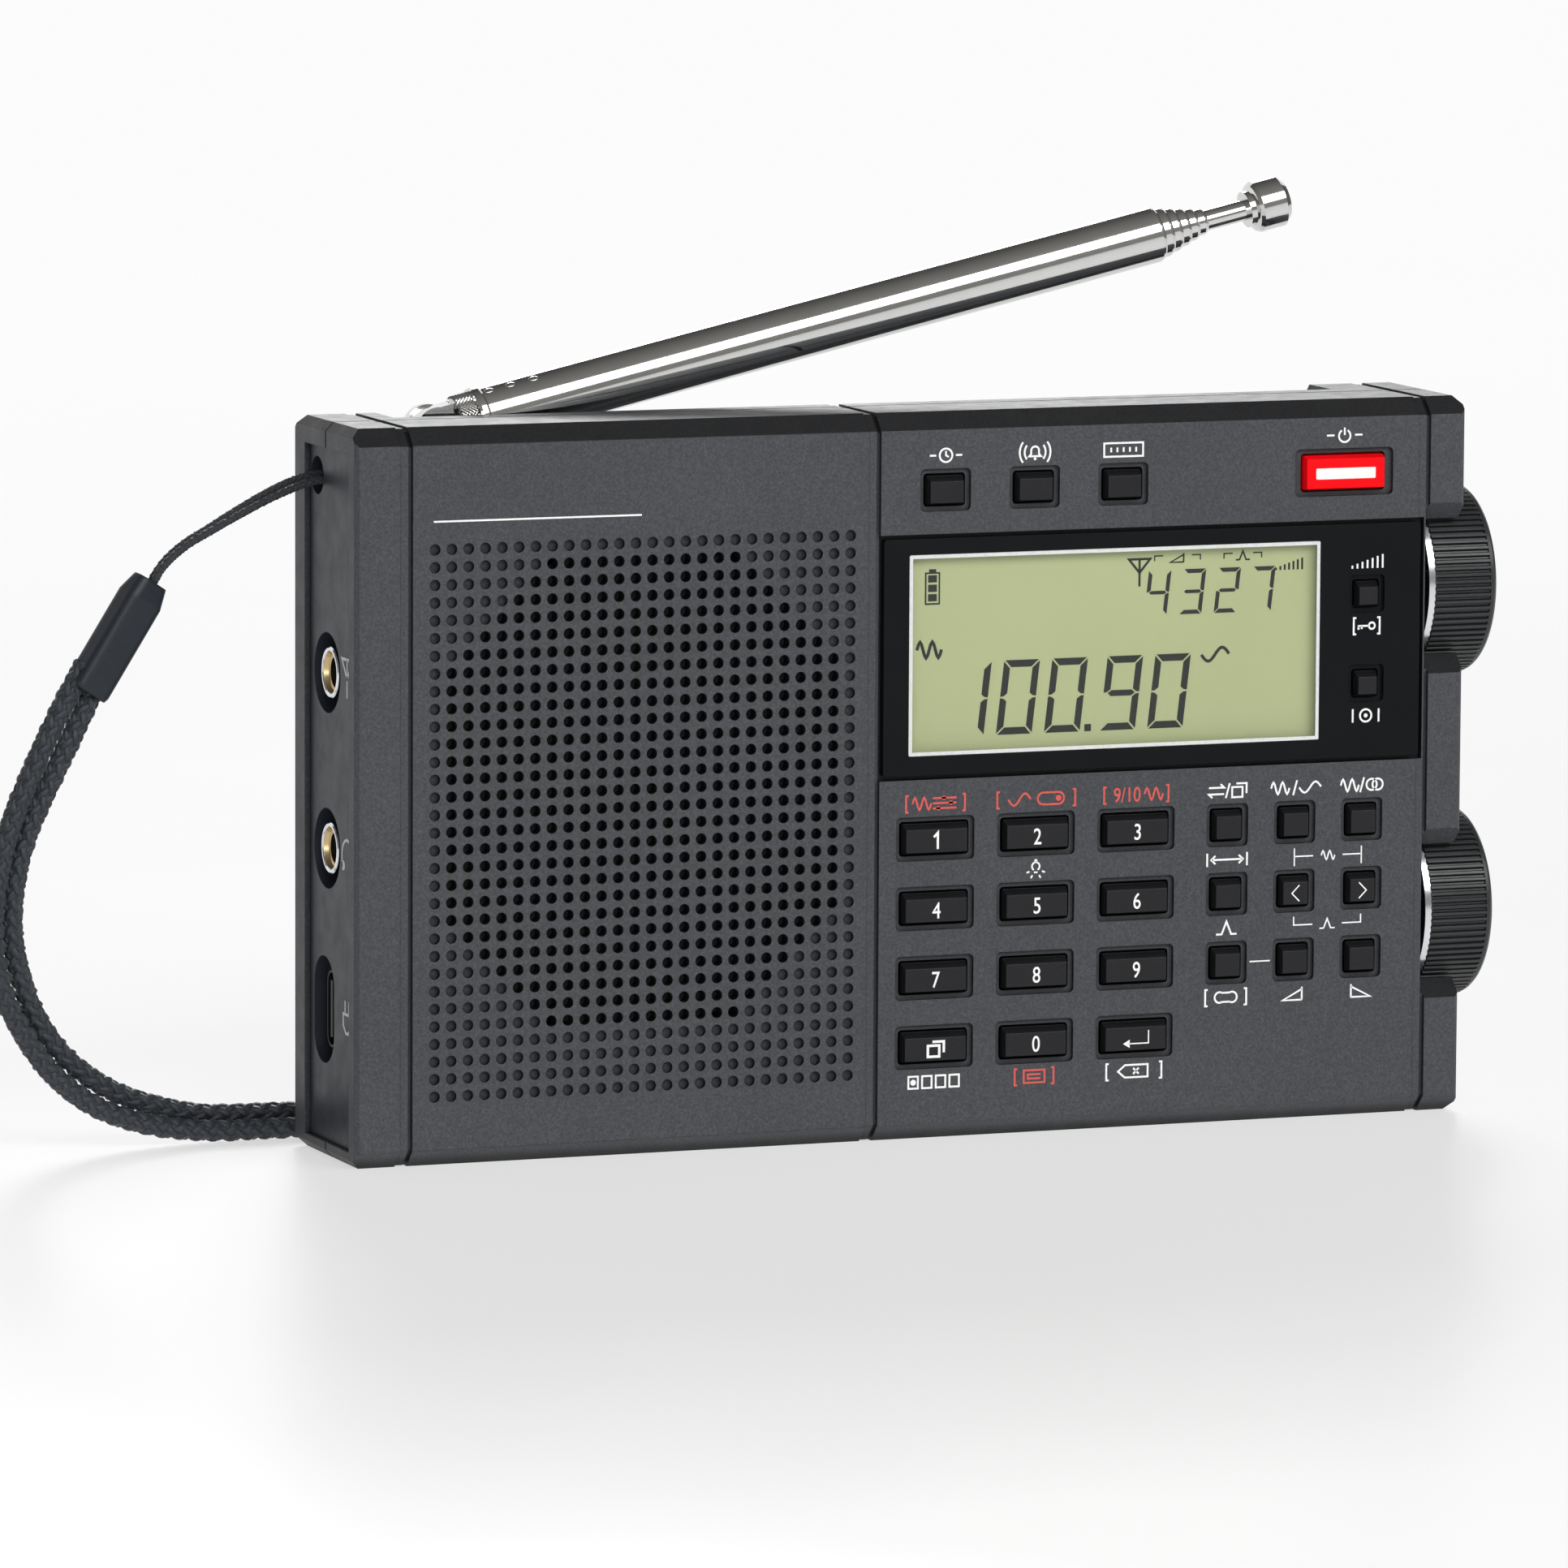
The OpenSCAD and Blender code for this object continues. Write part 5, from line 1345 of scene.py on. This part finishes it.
@dataclass
class Keys:
    """Prints the key caps and sets the white bar in the power key."""

    figure_mm: float = 1.9
    stroke_mm: float = 0.15
    bar_half_mm: Point2 = (3.8, 0.65)
    bar_corner_mm: float = 0.15

    def build(self, finishes: Finishes) -> None:
        """Makes the prints of every key.

        Args:
            finishes: The radio's finishes.
        """
        white = finishes["white_ink"]
        h = self.figure_mm * MM
        for digit in range(10):
            node = f"key_{digit}"
            if digit == 1:
                self._drawn(node, "figure", white, [(-0.2, 0.24), (0.06, 0.5), (0.06, -0.5)], 0.15 * h)
            else:
                figure = NumberPrint().print(str(digit), cap_sheet(node), h)
                carry(mesh_object(f"{node}_figure", figure, white), node)
        self._signs(white)
        self._power_bar(finishes["power_bar_white"])
        LOG.info("keys: caps printed")

    def _drawn(self, node: str, sign: str,
               ink: bpy.types.Material, points: Sequence[Point2], width: float) -> None:
        """Prints one line on a key.

        Args:
            node: Key that carries it.
            sign: What it is, for the piece's name.
            ink: Its ink.
            points: Points of the line, in figure heights.
            width: Width of the line.
        """
        h = self.figure_mm * MM
        drawing = Drawing()
        drawing.stroke(cap_sheet(node), [(x * h, y * h) for x, y in points], width)
        drawing.finish(f"{node}_{sign}", ink, node, "key_plastic")

    def _signs(self, ink: bpy.types.Material) -> None:
        """Prints the return arrow, the two chevrons and the memory sign."""
        h = self.figure_mm * MM
        width = self.stroke_mm * MM
        for node, side in (("band_key_5", -1), ("band_key_6", 1)):
            self._drawn(node, "chevron", ink,
                        [(-0.25 * side, 0.5), (0.25 * side, 0), (-0.25 * side, -0.5)], width)
        sheet = cap_sheet("key_enter")
        arrow = Drawing()
        arrow.stroke(sheet, [(0.85 * h, 0.5 * h), (0.85 * h, -0.3 * h), (-0.45 * h, -0.3 * h)], width)
        arrow.shape(sheet, [(-0.85 * h, -0.3 * h), (-0.4 * h, -0.56 * h), (-0.4 * h, -0.04 * h)])
        arrow.finish("key_enter_arrow", ink, "key_enter", "key_plastic")
        pages = Drawing()
        pages.mark(Mark.PAGES, cap_sheet("key_memory"), h, 0.16)
        pages.finish("key_memory_sign", ink, "key_memory", "key_plastic")

    def _power_bar(self, white: bpy.types.Material) -> None:
        """Sets the white bar in the power key."""
        corner = self.bar_corner_mm * MM
        x, z = (half * MM - corner for half in self.bar_half_mm)
        corners = ((x, z, 0), (-x, z, 90), (-x, -z, 180), (x, -z, 270))
        bar = Drawing()
        bar.shape(cap_sheet("power_key"), [
            point for x, z, start in corners for point in arc((x, z), corner, start, start + 90, 5)])
        bar.finish("power_key_bar", white, "power_key", "power_red")


# ---------------------------------------------------------------- display


@dataclass
class SegmentRow:
    """A row of seven-segment figures."""

    text: str
    left_mm: float
    foot_mm: float
    height_mm: float
    width_mm: float
    pitch_mm: float
    bar_mm: float
    slant: float = 0.115
    lit: dict[str, str] = field(default_factory=lambda: {
        "0": "abcdef", "1": "bc", "2": "abged", "3": "abgcd", "4": "fgbc", "5": "afgcd", "6": "afgedc",
        "7": "abc",
        "8": "abcdefg", "9": "abcdfg"})

    def draw(self, drawing: Drawing, sheet: Sheet) -> None:
        """Draws the row.

        Args:
            drawing: Drawing that receives the segments.
            sheet: Plane whose zero is the display's lower left corner.
        """
        at = self.left_mm
        for figure in self.text:
            if figure == ".":
                self._point(drawing, sheet, at)
                at += self.bar_mm * 1.1
                continue
            for name in self.lit[figure]:
                corners = self._segment(name)
                drawing.shape(sheet, [
                    ((at + x + self.slant * z) * MM, (self.foot_mm + z) * MM) for x, z in corners])
            at += self.pitch_mm

    def _point(self, drawing: Drawing, sheet: Sheet, at: float) -> None:
        """Draws the decimal point before the next figure."""
        left = at - (self.pitch_mm - self.width_mm) * 0.62
        drawing.box(sheet, (left * MM, self.foot_mm * MM),
                    ((left + self.bar_mm) * MM, (self.foot_mm + self.bar_mm) * MM))

    def _segment(self, name: str) -> list[Point2]:
        """Gives the corners of one segment, upright."""
        w, h, b = self.width_mm, self.height_mm, self.bar_mm
        gap = b * 0.16
        half = h / 2
        side = [(0, gap), (0, half - gap * 0.6), (b * 0.5, half - gap), (b, half - b * 0.55), (b, b + gap)]
        flat = [(gap, 0), (w - gap, 0), (w - b - gap, b), (b + gap, b)]
        middle = [(b * 0.62, half), (b + gap, half + b * 0.42), (w - b - gap, half + b * 0.42),
                  (w - b * 0.62, half),
                  (w - b - gap, half - b * 0.42), (b + gap, half - b * 0.42)]
        return {
            "a": [(x, h - z) for x, z in flat], "d": flat, "g": middle,
            "e": side, "f": [(x, h - z) for x, z in side],
            "c": [(w - x, z) for x, z in side], "b": [(w - x, h - z) for x, z in side],
        }[name]


@dataclass
class Display:
    """Figures and signs of the liquid crystal, and the pale line round it."""

    line_mm: float = 0.42
    rows: list[SegmentRow] = field(default_factory=lambda: [
        SegmentRow("100.90", left_mm=5.3, foot_mm=1.95, height_mm=8.7,
                   width_mm=4.5, pitch_mm=6.05, bar_mm=0.84),
        SegmentRow("4327", left_mm=29.9, foot_mm=15.25, height_mm=5.3,
                   width_mm=2.85, pitch_mm=4.42, bar_mm=0.5),
    ])

    def build(self, finishes: Finishes) -> None:
        """Makes the figures, the signs and the line.

        Args:
            finishes: The radio's finishes.
        """
        lens = face_of("display_lens")
        crystal = face_of("lcd_module")
        sheet = front_sheet(lens.low.x, crystal.low.y, lens.low.z)
        drawing = Drawing()
        for row in self.rows:
            row.draw(drawing, sheet)
        self._signs(drawing, sheet)
        drawing.finish("display_figures", finishes["segment_ink"], "housing", "lcd_glass")
        line = Drawing()
        inset = self.line_mm * MM / 2
        corners = [(inset, inset), (lens.width - inset, inset), (lens.width - inset, lens.height - inset),
                   (inset, lens.height - inset)]
        line.stroke(front_sheet(lens.low.x, lens.low.y, lens.low.z), corners, self.line_mm * MM, closed=True)
        line.finish("display_line", finishes["display_frame"], "housing", "window_gloss")
        LOG.info("display: figures drawn")

    def _signs(self, drawing: Drawing, sheet: Sheet) -> None:
        """Draws the battery, the mast, the level brackets and two plain signs."""
        battery = sheet.moved(3.3 * MM, 19.5 * MM)
        drawing.stroke(battery, [(-0.85 * MM, -1.95 * MM), (0.85 * MM, -1.95 * MM), (0.85 * MM, 1.65 * MM),
                                 (-0.85 * MM, 1.65 * MM)], 0.2 * MM, closed=True)
        drawing.box(battery, (-0.45 * MM, 1.75 * MM), (0.45 * MM, 2.1 * MM))
        for low in (-1.65, -0.55, 0.55):
            drawing.box(battery, (-0.55 * MM, low * MM), (0.55 * MM, (low + 0.85) * MM))
        drawing.mark(Mark.MAST, sheet.moved(29.3 * MM, 20.3 * MM), 3.2 * MM, 0.09)
        for left, right in ((31.2, 37.0), (40.0, 44.8)):
            for x, way in ((left, 1), (right, -1)):
                drawing.stroke(sheet, [(x * MM, 21.6 * MM), (x * MM, 22.2 * MM),
                               ((x + way * 1.1) * MM, 22.2 * MM)],
                               0.16 * MM)
        for mark, across, up, height in (
                (Mark.WAVE, 2.9, 12.2, 2.3), (Mark.LONG_WAVE, 39.0, 10.4, 2.2), (Mark.STEPS, 48.3, 20.7, 1.5),
                (Mark.LOW_SIDE, 34.1, 21.9, 1.2), (Mark.SLOPES, 42.4, 21.9, 1.2)):
            drawing.mark(mark, sheet.moved(across * MM, up * MM), height * MM, 0.17)


# ---------------------------------------------------------------- aerial


@dataclass
class Aerial:
    """Knurl of the aerial's collar, and the small pits that hold the first tube."""

    collar_start_mm: float = 3.05
    collar_end_mm: float = 5.2
    collar_radius_mm: float = 3.02
    tube_radius_mm: float = 3.35
    tilt_deg: float = 12.8
    pits_mm: tuple[float, ...] = (7.2, 9.9, 12.8)
    pit_lean_deg: float = 62
    around: int = 44
    rows: int = 5

    def frame_of_mast(self) -> Matrix:
        """Gives the matrix from the aerial's own axis, Z towards the tip, to the row frame."""
        pivot = next(joint for joint in frame["joints"] if joint["name"] == "aerial_tilt")["pos_m"]
        turn = Matrix.Rotation(math.radians(90 - self.tilt_deg), 4, "Y")
        return Matrix.Translation(Vector(pivot)) @ turn

    def build(self, finishes: Finishes) -> None:
        """Makes the knurl and the pits.

        Args:
            finishes: The radio's finishes.
        """
        knurl = self._knurl(finishes["chrome_plate"])
        knurl.data.transform(self.frame_of_mast())
        carry(knurl, "aerial_arm")
        pits = self._pits(finishes["chrome_plate"])
        carry(pits, "aerial_arm")
        LOG.info("aerial: collar knurled")

    def _pits(self, material: bpy.types.Material) -> bpy.types.Object:
        """Sets the staked spots that hold the first tube on its spigot."""
        drawn = bmesh.new()
        lean = math.radians(self.pit_lean_deg)
        out = Vector((-math.sin(lean), -math.cos(lean), 0))
        turn = Matrix((Vector((0, 0, 1)), Vector((0, 0, 1)).cross(out) * -1, out)).transposed().to_4x4()
        for along in self.pits_mm:
            place = Matrix.Translation(out * (self.tube_radius_mm - 0.03) * MM + Vector((0, 0, along * MM)))
            flat = Matrix.Diagonal((0.62 * MM, 0.42 * MM, 0.12 * MM, 1))
            bmesh.ops.create_icosphere(drawn, subdivisions=3, radius=1.0, matrix=place @ turn @ flat)
        mesh = bpy.data.meshes.new("aerial_pits")
        drawn.to_mesh(mesh)
        drawn.free()
        mesh.transform(self.frame_of_mast())
        for polygon in mesh.polygons:
            polygon.use_smooth = True
        return mesh_object("aerial_pits", mesh, material)

    def _knurl(self, material: bpy.types.Material) -> bpy.types.Object:
        """Covers a cylinder with small pyramids on a staggered grid.

        Args:
            material: Metal of the collar.

        Returns:
            The knurl, about the aerial's own axis.
        """
        length = (self.collar_end_mm - self.collar_start_mm) * MM
        form = NodeForm("collar_knurl")
        radius = form.size("Collar radius", self.collar_radius_mm * MM)
        start = form.size("Collar start", self.collar_start_mm * MM)
        span = form.size("Collar length", length)
        around = form.size("Teeth round", self.around, "NodeSocketInt")
        rows = form.size("Tooth rows", self.rows * 2, "NodeSocketInt")
        count = form.math("MULTIPLY", around, rows)
        points = form.node("GeometryNodePoints", {"Count": count})
        index = form.node("GeometryNodeInputIndex").outputs[0]
        row = form.math("FLOOR", form.math("DIVIDE", index, around))
        column = form.math("SUBTRACT", index, form.math("MULTIPLY", row, around))
        shifted = form.math("ADD", column, form.math("MULTIPLY", form.math("MODULO", row, 2.0), 0.5))
        angle = form.math("MULTIPLY", form.math("DIVIDE", shifted, around), 2 * math.pi)
        out = form.node("ShaderNodeCombineXYZ", {
            0: form.math("COSINE", angle), 1: form.math("SINE", angle)}).outputs[0]
        height = form.math("ADD", start, form.math("MULTIPLY", span, form.math(
            "DIVIDE", form.math("ADD", row, 0.5), rows)))
        place = form.vector("ADD", form.scaled(out, radius),
                            form.node("ShaderNodeCombineXYZ", {2: height}).outputs[0])
        placed = form.node("GeometryNodeSetPosition", {"Geometry": points.outputs[0], "Position": place})
        tooth = form.node("GeometryNodeMeshCone", {
            "Vertices": 4, "Radius Top": 0.0, "Radius Bottom": 0.25 * MM, "Depth": 0.16 * MM})
        facing = form.node("FunctionNodeAlignRotationToVector", {"Vector": out}, axis="Z", pivot_axis="AUTO")
        teeth = form.node("GeometryNodeInstanceOnPoints", {
            "Points": placed.outputs[0], "Instance": tooth.outputs[0], "Rotation": facing.outputs[0]})
        base = bpy.data.meshes.new("collar_knurl")
        made = form.bake("aerial_collar_knurl", base, [teeth.outputs[0]], material)
        for polygon in made.data.polygons:
            polygon.use_smooth = False
        return made


# ---------------------------------------------------------------- studio


@dataclass
class Lamp:
    """One soft area lamp aimed at a point."""

    name: str
    place: tuple[float, float, float]
    size: Point2
    power: float
    aim: tuple[float, float, float] = (0, 0, 0.04)
    spread_deg: float = 180

    def build(self) -> None:
        """Makes the lamp."""
        data = bpy.data.lights.new(self.name, "AREA")
        data.shape = "RECTANGLE"
        data.size, data.size_y = self.size
        data.energy = self.power
        data.spread = math.radians(self.spread_deg)
        lamp = link(bpy.data.objects.new(self.name, data))
        lamp.location = self.place
        lamp.visible_camera = False
        lamp.rotation_euler = (Vector(self.aim) - Vector(self.place)).to_track_quat("-Z", "Y").to_euler()


@dataclass
class Studio:
    """White sweep, soft lamps, a plain world and the camera."""

    lens_mm: float = 257.7
    camera_place: tuple[float, float, float] = (-0.47903, -1.20962, 0.20508)
    camera_turn_deg: tuple[float, float, float] = (7.1846, -21.0421, -1.0304)
    reach: float = 3.0
    bend: float = 0.6
    lamps: list[Lamp] = field(default_factory=lambda: [
        Lamp("front_box", (0.35, -1.35, 1.0), (2.4, 0.85), 10, aim=(0.06, 0, 0.06), spread_deg=100),
        Lamp("low_card", (-1.0, -1.9, 0.3), (1.5, 0.7), 9),
        Lamp("back_lamp", (0.42, 1.3, 0.85), (0.5, 0.5), 10),
    ])

    def build(self) -> None:
        """Makes the whole studio."""
        self._camera()
        self._sweep()
        self._world()
        for lamp in self.lamps:
            lamp.build()
        bpy.context.scene.view_settings.view_transform = "Standard"
        LOG.info("studio: ready")

    def _camera(self) -> None:
        """Sets the camera at the solved place."""
        data = bpy.data.cameras.new("camera")
        data.lens = self.lens_mm
        data.sensor_width = 36
        data.clip_start, data.clip_end = 0.05, 20
        camera = link(bpy.data.objects.new("camera", data))
        axis = Vector([math.radians(v) for v in self.camera_turn_deg])
        level = Matrix(((1, 0, 0), (0, 0, -1), (0, 1, 0)))
        turn = Matrix.Rotation(axis.length, 3, axis.normalized()) @ level
        facing = turn.transposed() @ Matrix.Diagonal((1, -1, -1))
        camera.matrix_world = Matrix.Translation(Vector(self.camera_place)) @ facing.to_4x4()
        bpy.context.scene.camera = camera

    def _sweep(self) -> None:
        """Makes the floor that bends up into the backdrop."""
        steps = 16
        line = [(-self.reach, 0.0)]
        back = self.reach * 0.55
        for i in range(steps + 1):
            a = math.radians(90 * i / steps)
            line.append((back + self.bend * math.sin(a), self.bend * (1 - math.cos(a))))
        line.append((back + self.bend, self.reach * 0.7))
        verts = [(side * self.reach, y, z) for y, z in line for side in (-1, 1)]
        faces = [(2 * i, 2 * i + 1, 2 * i + 3, 2 * i + 2) for i in range(len(line) - 1)]
        mesh = bpy.data.meshes.new("sweep")
        mesh.from_pydata(verts, [], faces)
        for polygon in mesh.polygons:
            polygon.use_smooth = True
        sweep = mesh_object("sweep", mesh, self._paper())

    @staticmethod
    def _paper() -> bpy.types.Material:
        """Builds the white satin sheet, which glows towards its back and is clear from behind."""
        shader = Shader("studio_paper", Specular_IOR_Level=0.3)
        fleck = shader.noise(0.12, detail=3)
        shader.drive("Base Color", shader.ramp(fleck, [(0.3, 0.74), (0.7, 0.76)]))
        shader.drive("Roughness", shader.ramp(fleck, [(0.3, 0.3), (0.7, 0.34)]))
        place = shader.node("ShaderNodeSeparateXYZ")
        shader.join(shader.coordinates(), place.inputs[0])
        share = shader.node("ShaderNodeMapRange")
        for number, value in zip((1, 2, 3, 4), (0.1, 1.2, 0.6, 1.0)):
            share.inputs[number].default_value = value
        shader.join(place.outputs["Y"], share.inputs[0])
        glow = shader.node("ShaderNodeEmission")
        glow.inputs["Color"].default_value = (0.972, 0.972, 0.974, 1)
        mix = shader.node("ShaderNodeMixShader")
        shader.join(share.outputs[0], mix.inputs[0])
        shader.join(shader.surface.outputs[0], mix.inputs[1])
        shader.join(glow.outputs[0], mix.inputs[2])
        one_way = shader.node("ShaderNodeMixShader")
        shader.join(shader.node("ShaderNodeNewGeometry").outputs["Backfacing"], one_way.inputs[0])
        shader.join(mix.outputs[0], one_way.inputs[1])
        shader.join(shader.node("ShaderNodeBsdfTransparent").outputs[0], one_way.inputs[2])
        shader.join(one_way.outputs[0], shader.tree.nodes["Material Output"].inputs["Surface"])
        return shader.material

    @staticmethod
    def _world() -> None:
        """Sets a grey world that is darker behind the radio than in front of it."""
        world = bpy.data.worlds.new("world")
        world.use_nodes = True
        tree = world.node_tree
        ground = tree.nodes["Background"]
        ground.inputs["Color"].default_value = (1.0, 0.97, 0.93, 1)
        coordinate = tree.nodes.new("ShaderNodeTexCoord")
        split = tree.nodes.new("ShaderNodeSeparateXYZ")
        share = tree.nodes.new("ShaderNodeMapRange")
        for number, value in zip((1, 2, 3, 4), (0.8, -0.6, 0.045, 0.26)):
            share.inputs[number].default_value = value
        tree.links.new(coordinate.outputs["Generated"], split.inputs[0])
        tree.links.new(split.outputs["Y"], share.inputs[0])
        tree.links.new(share.outputs[0], ground.inputs["Strength"])
        bpy.context.scene.world = world


def main() -> None:
    """Builds the studio, the strap and the dressed radio."""
    logging.basicConfig(level=logging.INFO, format="%(name)s %(message)s")
    Studio().build()
    finishes = Finishes()
    Strap().build(finishes)
    case = Case()
    case.dress(finishes)
    case.print_marks(finishes)
    Keys().build(finishes)
    Display().build(finishes)
    Aerial().build(finishes)
    SocketRings().build(finishes)
    DustCloth().build(finishes)


if __name__ == "__main__":
    main()
